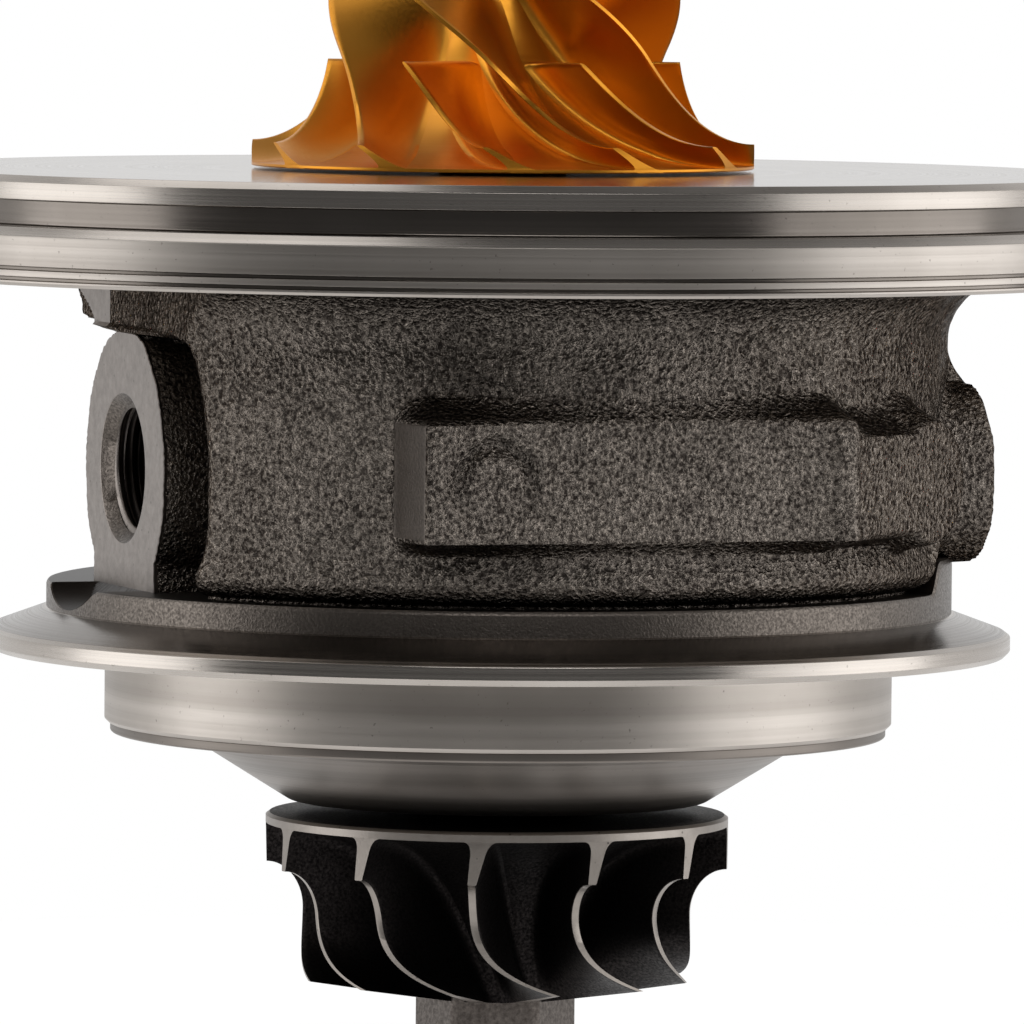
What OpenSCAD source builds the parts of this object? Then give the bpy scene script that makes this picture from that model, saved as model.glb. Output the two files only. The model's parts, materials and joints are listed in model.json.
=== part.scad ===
// Turbo cartridge: cast bearing housing, rotor with both wheels, floating bushes,
// thrust parts, seals, back plate and heat shield.
// Millimetres. +Z runs up the rotor axis to the compressor, -Y is the front.
// The origin is on the axis, on the lower seating face of the turbine clamp flange.

/* [Bearing housing] */
// Height of the casting above the clamp flange's lower face
housing_h = 38.8; // [37.5:0.1:42]
// Radius of the cast barrel
barrel_r = 46.15; // [45:0.05:46.4]
// Radius of the flare where the barrel meets the back plate
flare_r = 3.5; // [2:0.1:5]
// Angle of the port axis, from +X to the drain flange
port_turn = 19.3; // [0:0.1:40]
// Radius of the clamp flange
clamp_r = 53; // [51:0.1:56]
// Height of the clamp flange at its rim
clamp_rim_h = 2.3; // [1.8:0.1:3]
// Rise of the clamp flange's conical face
clamp_cone_h = 2.1; // [1.5:0.1:2.6]
// Radius of the turned hub above the clamp flange
hub_r = 46.9; // [46.5:0.1:48]
// Top of the turned hub
hub_top = 7.1; // [6.4:0.1:8]
// Radius of the pilot that enters the turbine housing
pilot_r = 40.8; // [38:0.1:43]
// Height of the pilot
pilot_h = 7.6; // [6:0.1:9]
// Diameter of the locating hole in the clamp flange
locating_d = 1.6; // [1:0.1:2.4]

/* [Oil ports] */
// Height of the port axes
port_z = 19.2; // [18:0.1:20.5]
// Distance of the inlet's milled face from the axis
inlet_face = 40.9; // [39.5:0.1:43]
// Radius of the cutter that mills the inlet's face
cutter_r = 14.5; // [13.8:0.1:14.7]
// Radius of the inlet boss
inlet_boss_r = 12.9; // [11:0.1:13.5]
// Distance of the cast side flat from the axis
side_flat = 35; // [33:0.1:37]
// Minor diameter of the inlet thread
inlet_d = 12.4; // [9:0.1:14]
// Depth of the inlet thread
inlet_depth = 13; // [10:0.5:15]
// Distance of the drain face from the axis
drain_face = 45.2; // [44:0.1:47]
// Diameter of the oil drain
drain_d = 15; // [11:0.5:17]
// Spacing of the two drain bolts
drain_bolt_spacing = 35; // [33:0.5:37]
// Tapping diameter of the drain bolts
drain_bolt_d = 6.8; // [5:0.1:7]
// Depth of the drain bolt holes
drain_bolt_depth = 14; // [10:0.5:16]
// Radius of the drain flange's ends
drain_lobe_r = 9.4; // [8:0.1:9.7]
// Width of the cast pads
pad_w = 44; // [36:1:46]
// Height of the cast pads
pad_h = 12.9; // [10:0.1:15]
// Distance of the cast pads' faces from the axis
pad_face = 47.6; // [47:0.1:48.4]
// Radius of the round boss between the front pad and the drain flange
boss_r = 6.45; // [5.5:0.05:7]
// Distance of the round boss's face from the axis
boss_face = 51; // [50:0.1:52]
// Turn of the round boss, from the front pad towards the drain flange
boss_turn = 40.7; // [37:0.1:44]

/* [Back plate] */
// Thickness of the plate
plate_h = 10.95; // [10:0.05:13]
// Radius of the lower rim
plate_r = 63.7; // [61:0.1:66]
// Radius of the upper land, which centres the compressor housing
plate_land_r = 62; // [60:0.1:63]
// Depth of the seal groove below the upper land
groove_depth = 2.5; // [1.5:0.1:3]
// Width of the seal groove
groove_w = 2.65; // [2:0.05:3.2]
// Height of the upper land
land_h = 2.45; // [2:0.05:3]
// Number of countersunk screws
screw_count = 4; // [3:1:6]
// Thread diameter of the screws
screw_d = 5; // [4:0.5:5]
// Length of the screws
screw_len = 20; // [16:0.5:20]
// Radius of the circle of screws
screw_circle_r = 21.4; // [21:0.1:22]

/* [Compressor wheel] */
// Radius at the blade exit
comp_r = 26; // [24.5:0.1:28]
// Radius at the blade inlet
comp_inlet_r = 18.2; // [16:0.1:20]
// Height of the full blades' inlet edge above the wheel base
comp_h = 21; // [19:0.1:23]
// Height of the splitter blades' inlet edge
splitter_h = 11.1; // [10:0.1:12.5]
// Height of the straight shroud's lower end
comp_shroud_h = 12; // [11.5:0.1:13]
// Blade height at the exit
comp_exit_h = 2; // [1.5:0.1:3]
// Disc thickness at the rim
comp_rim_h = 0.6; // [0.5:0.1:1.2]
// Radius of the hub at the blade inlet
comp_hub_r = 5.7; // [5.4:0.1:7]
// Height of the nose above the blade inlet
comp_nose_h = 4; // [3:0.1:5]
// Number of full blades, and of splitters
comp_blades = 6; // [5:1:7]
// Angle of a full blade's inlet edge, from the front
comp_inlet_angle = -48; // [-60:1:-30]
// Wrap of the blade tip from inlet to exit
comp_wrap = 74; // [60:1:85]
// Lead of the blade root over its tip at the exit
comp_exit_lean = 8.3; // [4:0.1:12]

/* [Turbine wheel] */
// Radius of the wheel
turb_r = 24; // [22.5:0.1:26]
// Radius at the blade exit
turb_exit_r = 20.2; // [18.5:0.1:21.5]
// Thickness of the disc at the rim
turb_rim_h = 1.05; // [0.8:0.05:1.6]
// Height of the blades' inlet edge
turb_inlet_h = 4.4; // [3.5:0.1:5.5]
// Axial length of the rounded shroud
turb_shroud_h = 4.8; // [4:0.1:6]
// Height of the wheel from rim to blade exit
turb_h = 17.15; // [15.5:0.05:18.5]
// Radius of the hub at the blade exit
turb_hub_r = 8; // [7.6:0.1:9]
// Number of blades
turb_blades = 12; // [9:1:13]
// Sweep of the blade tip at the exit
turb_wrap = 24.9; // [15:0.1:30]
// Width of the hexagonal nose across its corners
turb_hex_d = 17; // [14:0.1:18]
// Length of the hexagonal nose
turb_hex_h = 5; // [3:0.5:7]

/* [Shaft and bearings] */
// Diameter of the bearing journals
journal_d = 8; // [7:0.1:9]
// Diameter of the stem that carries the compressor wheel
stem_d = 6; // [5:0.1:6.4]
// Outer diameter of the floating bushes
bush_d = 12.5; // [11.5:0.1:13]
// Length of the floating bushes
bush_len = 9; // [7.5:0.1:9.5]
// Thickness of the retaining rings
clip_h = 1; // [0.8:0.1:1.2]
// Radius of the seal hub on the turbine side
seal_hub_r = 7.3; // [6.8:0.1:7.8]
// Outer radius of the flinger sleeve
sleeve_r = 6.8; // [6.2:0.1:7.2]
// Height of the seal rings
seal_ring_h = 1.5; // [1.2:0.1:1.8]
// Across flats of the shaft nut
nut_flats = 9; // [8:0.5:10]
// Height of the shaft nut
nut_h = 5.5; // [4.5:0.1:7]

/* [Thrust parts] */
// Outer radius of the thrust bearing
thrust_r = 15.6; // [14.5:0.1:15.8]
// Thickness of the thrust bearing
thrust_h = 4; // [3:0.1:4.4]
// Radius of the collar and flinger flanges
collar_r = 8.5; // [7.8:0.1:9]
// Thickness of the collar and flinger flanges
collar_h = 2.4; // [1.8:0.1:2.6]
// Radius of the collar's neck through the thrust bearing
collar_neck_r = 5.6; // [5:0.1:6]
// Thickness of the oil deflector
deflector_t = 0.8; // [0.6:0.1:1.2]
// Height of the plate's spigot in the housing
spigot_h = 4; // [3.8:0.1:4.6]
// Diameter of the dowel pins
dowel_d = 3; // [2:0.5:3.5]
// Section of the spigot's sealing ring
o_ring_d = 1.5; // [1.2:0.1:1.7]

/* [Heat shield] */
// Sheet thickness of the shield
shield_t = 1; // [0.7:0.1:1.3]
// Radius of the shield's lip
shield_lip_r = 40.2; // [38:0.1:40.6]
// Radius where the lip turns down into the dish
shield_dish_r = 32; // [29:0.1:34]
// Radius of the dish's floor
shield_floor_r = 22.5; // [20:0.1:24]
// Depth of the dish below the lip
shield_depth = 6.9; // [6:0.1:7.2]

/* [Clearances] */
// Radial clearance of the shaft in its bushes
bush_bore_clearance = 0.02; // [0.01:0.01:0.06]
// Radial clearance of the bushes in the housing
bush_outer_clearance = 0.05; // [0.02:0.01:0.08]
// Axial clearance of bushes, thrust faces and rings
end_float = 0.1; // [0.06:0.01:0.2]
// Radial gap at the rotating seals
seal_gap = 0.2; // [0.1:0.05:0.3]
// Gap between the wheel base and the back plate
wheel_gap = 0.3; // [0.2:0.05:0.6]
// Gap between the heat shield and the turbine disc
turbine_gap = 1.45; // [1:0.05:2.5]
// Gap of parts that are pushed together
slip = 0.02; // [0.01:0.01:0.05]

/* [Hidden] */
$fn = 96;
// Overlap that lets a cut pass right through a face
cut = 1;
chamfer = 0.4;

// Lengths that only the hidden inside depends on
collar_room = 0.4;
seal_hub_h = 8.6;
oil_gap = 1.4;
clip_cover = 0.9;
chamber_r = 30;
chamber_floor = 3;
chamber_roof = 3.1;
dowel_circle_r = 12;
dowel_depth = 5;
tongue_w = 9;
tongue_drop = 7;
screw_sink = 0.2;
stem_spare = 1.5;

// Heights along the rotor, from the casting upwards and downwards
plate_top = housing_h + plate_h;
wheel_base = plate_top + wheel_gap;
spigot_bottom = housing_h - spigot_h;
thrust_top = spigot_bottom - deflector_t;
thrust_seat = thrust_top - thrust_h;
collar_bottom = thrust_seat - end_float - collar_h;
recess_floor = collar_bottom - collar_room;
shield_bottom = -pilot_h - shield_t - shield_depth;
turb_back = shield_bottom - turbine_gap;
turb_rim = turb_back - turb_rim_h;
turb_exit = turb_back - turb_h;
nose_room = 0.4;
nose_bottom = shield_bottom + shield_t + nose_room;
weld_z = nose_bottom;
turbine_seal_z = nose_bottom + 3;
compressor_seal_z = housing_h + 5;
seal_hub_top = nose_bottom + seal_hub_h;
oil_gap_top = seal_hub_top + oil_gap;
turbine_bush_z = oil_gap_top + clip_cover + clip_h + 2 * end_float;
compressor_bush_z = recess_floor - clip_cover - clip_h - 2 * end_float - bush_len;
clip_levels = [
    turbine_bush_z - end_float - clip_h,
    turbine_bush_z + bush_len + end_float,
    compressor_bush_z - end_float - clip_h,
    compressor_bush_z + bush_len + end_float
];
nose_top = wheel_base + comp_h + comp_nose_h;
stem_top = nose_top + nut_h + stem_spare;
screw_tip = plate_top - screw_sink - screw_len;

// Radii
journal_r = journal_d / 2;
stem_r = stem_d / 2;
bush_r = bush_d / 2;
bearing_bore_r = bush_r + bush_outer_clearance;
clip_groove_r = bush_r + 0.9;
clip_inner_r = journal_r + 1.3;
seal_bore_r = seal_hub_r + seal_gap;
sleeve_bore_r = sleeve_r + seal_gap;
recess_r = 16;
spigot_r = recess_r - slip;
flinger_room_r = collar_r + 2;
nose_wall = 4;
nose_r = seal_bore_r + nose_wall;
carrier_r = clip_groove_r + 3.2;
tongue_at = carrier_r + 1.4;

// Points of a circular arc about c, from angle a0 to a1
function arc(c, r, a0, a1, n = 8) =
    [for (i = [0:n]) let (a = a0 + (a1 - a0) * i / n) c + r * [cos(a), sin(a)]];

// Ring with its lower face at z
module ring(outer, inner, h, z = 0) {
    translate([0, 0, z])
        difference() {
            cylinder(r = outer, h = h);
            translate([0, 0, -cut]) cylinder(r = inner, h = h + 2 * cut);
        }
}

// Frame of the ports: the drain is on +X, the inlet on -X, the pads on -Y and +Y
module in_port_frame() {
    rotate([0, 0, port_turn]) children();
}

// Cylinder along the port axis, from one distance to another
module along_port(r, from, to) {
    translate([from, 0, port_z])
        rotate([0, 90, 0]) cylinder(r = r, h = to - from);
}

// Bearing housing
clamp_chamfer = 0.6;
undercut_h = 0.3;
barrel_foot = 2;
air_gap_h = 1.6;
shield_seat_r = shield_dish_r - 0.4;

// Half section of the casting: nose, pilot, clamp flange, hub, barrel and flare
module housing_section() {
    polygon(concat(
        [[0, nose_bottom], [nose_r, nose_bottom], [nose_r, -pilot_h + air_gap_h]],
        [[shield_seat_r, -pilot_h + air_gap_h], [shield_seat_r, -pilot_h]],
        [[pilot_r - chamfer, -pilot_h], [pilot_r, -pilot_h + chamfer], [pilot_r, 0]],
        [[clamp_r - clamp_chamfer, 0], [clamp_r, clamp_chamfer]],
        [[clamp_r, clamp_rim_h - chamfer], [clamp_r - chamfer, clamp_rim_h]],
        [[hub_r, clamp_rim_h + clamp_cone_h], [hub_r, hub_top - chamfer]],
        [[hub_r - chamfer, hub_top]],
        arc([barrel_r - barrel_foot, hub_top + undercut_h + barrel_foot], barrel_foot, -90, 0),
        arc([barrel_r + flare_r, housing_h - flare_r], flare_r, 180, 90),
        [[0, housing_h]]
    ));
}

// Cast pad on one side, with bevelled ends
module cast_pad(side) {
    pad_bevel = 3;
    pad_root = 30;
    pad_lift = 0.95;
    translate([0, 0, port_z + pad_lift - pad_h / 2])
        linear_extrude(pad_h)
            polygon([
                [-pad_w / 2 - pad_bevel, side * pad_root], [pad_w / 2 + pad_bevel, side * pad_root],
                [pad_w / 2 + pad_bevel, side * (pad_face - pad_bevel)], [pad_w / 2, side * pad_face],
                [-pad_w / 2, side * pad_face], [-pad_w / 2 - pad_bevel, side * (pad_face - pad_bevel)]
            ]);
}

// Valley beside the inlet boss: a cast flat with a rounded inner corner
module side_valley() {
    valley_front = 18.5;
    corner = 4;
    reach = clamp_r + 10;
    floor_drop = 0.15;
    translate([0, 0, hub_top - floor_drop])
        linear_extrude(housing_h)
            difference() {
                translate([-reach, -valley_front]) square([reach - side_flat, reach + valley_front]);
                difference() {
                    translate([-side_flat - corner, -valley_front]) square(corner);
                    translate([-side_flat - corner, -valley_front + corner]) circle(r = corner);
                }
            }
}

// Inlet boss with its leg down to the hub, and the lug that the milled face also cuts
module inlet_boss() {
    leg_w = 17.4;
    leg_sink = 2;
    root = 25;
    lug = [inlet_face - root, 10, housing_h - port_z - cutter_r];
    lug_start = 6;
    along_port(inlet_boss_r, -inlet_face, -root);
    translate([-inlet_face, -leg_w / 2, hub_top - leg_sink])
        cube([inlet_face - root, leg_w, port_z - hub_top + leg_sink]);
    translate([-inlet_face, lug_start, housing_h - lug.z]) cube(lug);
}

// Round boss that fills the corner between the front pad and the drain flange
module round_boss() {
    root = 35;
    rotate([0, 0, boss_turn - 90]) along_port(boss_r, root, boss_face);
}

// Drain flange with two round ends
module drain_flange() {
    root = 30;
    translate([root, 0, port_z])
        rotate([0, 90, 0])
            linear_extrude(drain_face - root) {
                for (side = [-1, 1])
                    translate([0, side * drain_bolt_spacing / 2]) circle(r = drain_lobe_r);
                square([2 * drain_lobe_r, drain_bolt_spacing], center = true);
            }
}

// Leg under the drain flange, turned almost flush with the hub
module drain_leg() {
    root = 30;
    step = 0.05;
    sink = 1.5;
    leg_w = drain_bolt_spacing + 2 * drain_lobe_r;
    leg_h = port_z - drain_lobe_r + 0.7 - (hub_top - sink);
    translate([0, 0, hub_top - sink])
        intersection() {
            cylinder(r = hub_r - step, h = leg_h);
            translate([root, -leg_w / 2, -cut]) cube([drain_face - step - root, leg_w, leg_h + 2 * cut]);
        }
}

// Oil chamber on the drain side of the bearing carriers
module oil_chamber() {
    sweep = 190;
    low = turbine_bush_z + bush_len + clip_h + 2 * end_float + clip_cover;
    high = compressor_bush_z - clip_h - 2 * end_float - clip_cover;
    top = thrust_seat - chamber_roof;
    rotate([0, 0, -sweep / 2])
        rotate_extrude(angle = sweep)
            polygon([
                [carrier_r, chamber_floor], [chamber_r, chamber_floor], [chamber_r, top],
                [carrier_r, top], [carrier_r, high], [0, high], [0, low], [carrier_r, low]
            ]);
}

// Drilled feed from the inlet to both bushes
module oil_feed() {
    feed_r = 1.6;
    feed_start = inlet_face - inlet_depth + cut;
    feed_end = [0, 0, turbine_bush_z + bush_len / 2 - port_z];
    span = [feed_start, 0, 0] + feed_end;
    along_port(feed_r, -feed_start, 0);
    translate([-feed_start, 0, port_z])
        rotate([0, 90 + atan2(-span.z, span.x), 0]) cylinder(r = feed_r, h = norm(span));
}

// Stepped bore for the bushes, their retaining rings, the thrust parts and the seal
module housing_bore() {
    translate([0, 0, nose_bottom - cut]) cylinder(r = seal_bore_r, h = oil_gap_top - nose_bottom + cut);
    translate([0, 0, nose_bottom]) cylinder(r = bearing_bore_r, h = housing_h - nose_bottom);
    translate([0, 0, recess_floor]) cylinder(r = collar_r + 1, h = housing_h);
    translate([0, 0, thrust_seat]) cylinder(r = recess_r, h = housing_h);
    for (z = clip_levels)
        translate([0, 0, z - end_float / 2]) cylinder(r = clip_groove_r, h = clip_h + end_float);
}

// Slot that lets the thrust parts drain past the deflector's tongue
module thrust_drain() {
    translate([carrier_r + 0.4, -tongue_w / 2 - 1, compressor_bush_z])
        cube([recess_r - carrier_r - 1.4, tongue_w + 2, housing_h - spigot_h - compressor_bush_z]);
}

// Milled inlet face with its tapped hole, and the drain with its two bolt holes
module oil_ports() {
    thread_chamfer = 1.5;
    along_port(cutter_r, -clamp_r - cut, -inlet_face);
    along_port(inlet_d / 2, -inlet_face - cut, -inlet_face + inlet_depth);
    translate([-inlet_face, 0, port_z])
        rotate([0, 90, 0]) cylinder(r1 = inlet_d / 2 + thread_chamfer, r2 = inlet_d / 2, h = thread_chamfer);
    along_port(drain_d / 2, chamber_r - 2, drain_face + cut);
    for (side = [-1, 1])
        translate([0, side * drain_bolt_spacing / 2, 0])
            along_port(drain_bolt_d / 2, drain_face - drain_bolt_depth, drain_face + cut);
}

// Small hole in the clamp flange's conical face
module locating_hole() {
    hole_turn = -5.7;
    hole_depth = 1.2;
    rotate([0, 0, hole_turn])
        translate([(clamp_r + hub_r) / 2, 0, clamp_rim_h - hole_depth])
            cylinder(d = locating_d, h = clamp_cone_h + 2 * hole_depth);
}

module dowel_places() {
    for (a = [110, 250]) rotate([0, 0, a]) translate([dowel_circle_r, 0, 0]) children();
}

module screw_places() {
    for (i = [0:screw_count - 1])
        rotate([0, 0, 360 * (i + 0.5) / screw_count]) translate([screw_circle_r, 0, 0]) children();
}

module bearing_housing() {
    color("dimgray")
        difference() {
            union() {
                difference() {
                    rotate_extrude() housing_section();
                    in_port_frame() side_valley();
                }
                in_port_frame() {
                    for (side = [-1, 1]) cast_pad(side);
                    round_boss();
                    drain_flange();
                    drain_leg();
                    inlet_boss();
                }
            }
            housing_bore();
            in_port_frame() {
                oil_ports();
                oil_chamber();
                oil_feed();
                thrust_drain();
                dowel_places()
                    translate([0, 0, thrust_seat - dowel_depth])
                        cylinder(d = dowel_d + 2 * slip, h = dowel_depth + cut);
                screw_places()
                    translate([0, 0, screw_tip - cut]) cylinder(d = screw_d + 2 * slip, h = housing_h);
                locating_hole();
            }
        }
}

// Back plate
plate_edge = 0.7;
shoulder_h = 0.9;
rim_step = 0.65;

// Half section: spigot, flinger recess, stepped rim, seal groove and upper land
module plate_section() {
    land_bottom = plate_top - land_h;
    groove_bottom = land_bottom - groove_w;
    groove_floor = plate_land_r - groove_depth;
    rim_bottom = housing_h + 1.85;
    o_ring_top = spigot_bottom + (spigot_h + o_ring_room) / 2;
    polygon([
        [sleeve_bore_r, spigot_bottom + 2.2], [flinger_room_r, spigot_bottom + 2.2],
        [flinger_room_r, spigot_bottom], [spigot_r, spigot_bottom],
        [spigot_r, o_ring_top - o_ring_room], [o_ring_floor, o_ring_top - o_ring_room],
        [o_ring_floor, o_ring_top], [spigot_r, o_ring_top],
        [spigot_r, housing_h], [plate_r - 2, housing_h],
        [plate_r - rim_step, rim_bottom - rim_step], [plate_r - rim_step, rim_bottom],
        [plate_r, rim_bottom], [plate_r, groove_bottom - shoulder_h],
        [plate_r - shoulder_h, groove_bottom], [groove_floor, groove_bottom],
        [groove_floor, land_bottom], [plate_land_r, land_bottom],
        [plate_land_r, plate_top - plate_edge], [plate_land_r - plate_edge, plate_top],
        [sleeve_bore_r, plate_top]
    ]);
}

o_ring_floor = recess_r - o_ring_d;
o_ring_room = o_ring_d + 0.4;
head_r = screw_d * 0.92;

module compressor_backplate() {
    color("silver")
        difference() {
            rotate_extrude($fn = 180) plate_section();
            in_port_frame() screw_places() {
                translate([0, 0, housing_h - cut]) cylinder(d = screw_d + 0.5, h = plate_h + 2 * cut);
                translate([0, 0, plate_top - head_r])
                    cylinder(r1 = 0.25, r2 = head_r + 0.25, h = head_r);
            }
        }
}

module backplate_screws() {
    color("dimgray")
        in_port_frame() screw_places()
            difference() {
                union() {
                    translate([0, 0, screw_tip]) cylinder(d = screw_d, h = screw_len - 1);
                    translate([0, 0, plate_top - screw_sink - head_r])
                        cylinder(r1 = 0, r2 = head_r, h = head_r);
                }
                translate([0, 0, plate_top - screw_sink - head_r * 0.55])
                    cylinder(r = screw_d * 0.35, h = head_r, $fn = 6);
            }
}

module backplate_o_ring() {
    section = o_ring_d - 2 * slip;
    color("black")
        translate([0, 0, spigot_bottom + spigot_h / 2])
            rotate_extrude() translate([recess_r - o_ring_d / 2, 0]) circle(d = section, $fn = 32);
}

// Blades: a grid of points from root to tip and from inlet to exit, with two sides.
// The root starts a little inside the hub.
blade_root = -0.08;
blade_rows = 4;

// Triangles of a closed box that is a grid on its front and back
function blade_faces(n, m) = let (
        id = function (side, i, j) side * (n + 1) * (m + 1) + i * (m + 1) + j,
        quad = function (a, b, c, d) [[a, b, c], [a, c, d]]
    )
    [for (i = [0:n - 1], j = [0:m - 1], t = concat(
        quad(id(0, i, j), id(0, i, j + 1), id(0, i + 1, j + 1), id(0, i + 1, j)),
        quad(id(1, i, j), id(1, i + 1, j), id(1, i + 1, j + 1), id(1, i, j + 1)),
        j == 0 ? quad(id(0, i, 0), id(0, i + 1, 0), id(1, i + 1, 0), id(1, i, 0)) : [],
        j == m - 1 ? quad(id(0, i, m), id(1, i, m), id(1, i + 1, m), id(0, i + 1, m)) : [],
        i == 0 ? quad(id(0, 0, j), id(1, 0, j), id(1, 0, j + 1), id(0, 0, j + 1)) : [],
        i == n - 1 ? quad(id(0, n, j), id(0, n, j + 1), id(1, n, j + 1), id(1, n, j)) : []
    )) t];

// One blade: root(u) and tip(u) give [radius, height, angle], thick(v) the thickness
module blade(root, tip, thick, u0, steps) {
    points = [for (side = [-0.5, 0.5], i = [0:steps], j = [0:blade_rows])
        let (
            u = u0 + (1 - u0) * i / steps,
            v = blade_root + (1 - blade_root) * j / blade_rows,
            p = root(u) + v * (tip(u) - root(u)),
            a = p[2] - 90
        )
        [p[0] * cos(a), p[0] * sin(a), p[1]] + side * thick(v) * [-sin(a), cos(a), 0]];
    polyhedron(points, blade_faces(steps, blade_rows), convexity = 4);
}

// Compressor hub: a quarter ellipse from the nose to the rim
comp_hub = function (u) let (a = 90 * pow(u, 1.38))
    [comp_r - (comp_r - comp_hub_r) * cos(a), comp_h - (comp_h - comp_rim_h) * sin(a),
     comp_tip_angle(u) + comp_exit_lean * u * u];
comp_tip_angle = function (u) comp_inlet_angle + comp_wrap * (0.62 * (1 - (1 - u) * (1 - u)) + 0.38 * u);

// Compressor tip line: straight down the inlet, then a quarter ellipse to the exit
comp_straight = comp_h - comp_shroud_h;
comp_tip_h = comp_rim_h + comp_exit_h;
comp_curve = PI / 2 * sqrt((pow(comp_r - comp_inlet_r, 2) + pow(comp_shroud_h - comp_tip_h, 2)) / 2);
comp_tip = function (u) let (
        s = u * (comp_straight + comp_curve),
        a = 90 * max(0, s - comp_straight) / comp_curve
    )
    [comp_r - (comp_r - comp_inlet_r) * cos(a),
     comp_h - min(s, comp_straight) - (comp_shroud_h - comp_tip_h) * sin(a), comp_tip_angle(u)];
comp_thick = function (v) 1.6 - 0.85 * max(0, v);
splitter_start = (comp_h - splitter_h) / (comp_straight + comp_curve);

module compressor_wheel() {
    hub_steps = 20;
    color("darkorange")
        difference() {
            translate([0, 0, wheel_base]) union() {
                rotate_extrude() polygon(concat(
                    [[0, 0], [comp_r, 0]],
                    [for (i = [hub_steps:-1:0]) let (p = comp_hub(i / hub_steps)) [p[0], p[1]]],
                    [[comp_hub_r - 0.5, comp_h + comp_nose_h], [0, comp_h + comp_nose_h]]
                ));
                for (i = [0:comp_blades - 1]) {
                    rotate([0, 0, 360 * i / comp_blades]) blade(comp_hub, comp_tip, comp_thick, 0, 12);
                    rotate([0, 0, 360 * (i + 0.5) / comp_blades])
                        blade(comp_hub, comp_tip, comp_thick, splitter_start, 8);
                }
            }
            translate([0, 0, wheel_base - cut]) cylinder(r = stem_r + slip, h = comp_h + comp_nose_h + 2 * cut);
        }
}

module shaft_nut() {
    nut_r = nut_flats / 2 / cos(30);
    color("slategray")
        translate([0, 0, nose_top])
            difference() {
                intersection() {
                    cylinder(r = nut_r, h = nut_h, $fn = 6);
                    cylinder(r1 = nut_r + nut_h, r2 = nut_flats / 2, h = nut_h + nut_r - nut_flats / 2);
                }
                translate([0, 0, -cut]) cylinder(r = stem_r + slip, h = nut_h + 2 * cut);
            }
}

module shaft() {
    groove_room = seal_ring_h + end_float;
    color("gray")
        rotate_extrude() polygon([
            [0, weld_z], [seal_hub_r, weld_z],
            [seal_hub_r, turbine_seal_z - end_float / 2], [seal_hub_r - 1.4, turbine_seal_z - end_float / 2],
            [seal_hub_r - 1.4, turbine_seal_z - end_float / 2 + groove_room],
            [seal_hub_r, turbine_seal_z - end_float / 2 + groove_room],
            [seal_hub_r, seal_hub_top - chamfer], [seal_hub_r - chamfer, seal_hub_top],
            [journal_r, seal_hub_top], [journal_r, collar_bottom], [stem_r, collar_bottom],
            [stem_r, stem_top - chamfer], [stem_r - chamfer, stem_top], [0, stem_top]
        ]);
}

// Turbine hub: a quarter ellipse from the disc's rim to the blade exit
turb_nose = turb_exit - 1.9;
turb_hub = function (u) let (a = 90 * u)
    [turb_r - (turb_r - turb_hub_r) * sin(a), turb_nose + (turb_rim - turb_nose) * cos(a),
     turb_start_angle + (turb_wrap - 3) * pow(u, 4)];
turb_start_angle = -3.9;

// Turbine tip line: a quarter ellipse from the inlet edge, then straight to the exit
turb_inlet_z = turb_rim - turb_inlet_h;
turb_straight = turb_inlet_z - turb_shroud_h - turb_exit;
turb_curve = PI / 2 * sqrt((pow(turb_r - turb_exit_r, 2) + pow(turb_shroud_h, 2)) / 2);
turb_tip = function (u) let (
        s = u * (turb_straight + turb_curve),
        a = 90 * min(1, s / turb_curve)
    )
    [turb_r - (turb_r - turb_exit_r) * sin(a),
     turb_inlet_z - turb_shroud_h * (1 - cos(a)) - max(0, s - turb_curve),
     turb_start_angle - 3 + pow(1 - u, 4) + turb_wrap * pow(u, 5)];
turb_thick = function (v) 1.8 - 0.9 * max(0, v);

module turbine_wheel() {
    hub_steps = 16;
    color([0.16, 0.15, 0.15])
        union() {
            rotate_extrude() polygon(concat(
                [[0, weld_z], [0, turb_nose]],
                [for (i = [hub_steps:-1:0]) let (p = turb_hub(i / hub_steps)) [p[0], p[1]]],
                [[turb_r, turb_back - chamfer], [turb_r - chamfer, turb_back]],
                [[seal_hub_r + 1.2, turb_back + 0.45], [seal_hub_r, turb_back + 1.4], [seal_hub_r, weld_z]]
            ));
            for (i = [0:turb_blades - 1])
                rotate([0, 0, 360 * i / turb_blades]) blade(turb_hub, turb_tip, turb_thick, 0, 12);
            translate([0, 0, turb_nose - turb_hex_h])
                rotate([0, 0, 30]) cylinder(d = turb_hex_d, h = turb_hex_h + 1.2, $fn = 6);
        }
}

// Thrust parts
module thrust_collar() {
    color("lightslategray") {
        difference() {
            union() {
                translate([0, 0, collar_bottom]) cylinder(r = collar_r, h = collar_h);
                translate([0, 0, collar_bottom]) cylinder(r = collar_neck_r, h = flinger_bottom - collar_bottom);
            }
            translate([0, 0, collar_bottom - cut]) cylinder(r = stem_r + slip, h = housing_h);
        }
    }
}

flinger_bottom = thrust_top + end_float;

module flinger_sleeve() {
    groove_low = compressor_seal_z - end_float / 2;
    groove_high = groove_low + seal_ring_h + end_float;
    color("lightslategray")
        rotate_extrude() polygon([
            [stem_r + slip, flinger_bottom], [collar_r, flinger_bottom],
            [collar_r, flinger_bottom + collar_h * 0.7], [sleeve_r, flinger_bottom + collar_h],
            [sleeve_r, groove_low], [sleeve_r - 1.2, groove_low], [sleeve_r - 1.2, groove_high],
            [sleeve_r, groove_high], [sleeve_r, wheel_base - chamfer],
            [sleeve_r - chamfer, wheel_base], [stem_r + slip, wheel_base]
        ]);
}

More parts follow.
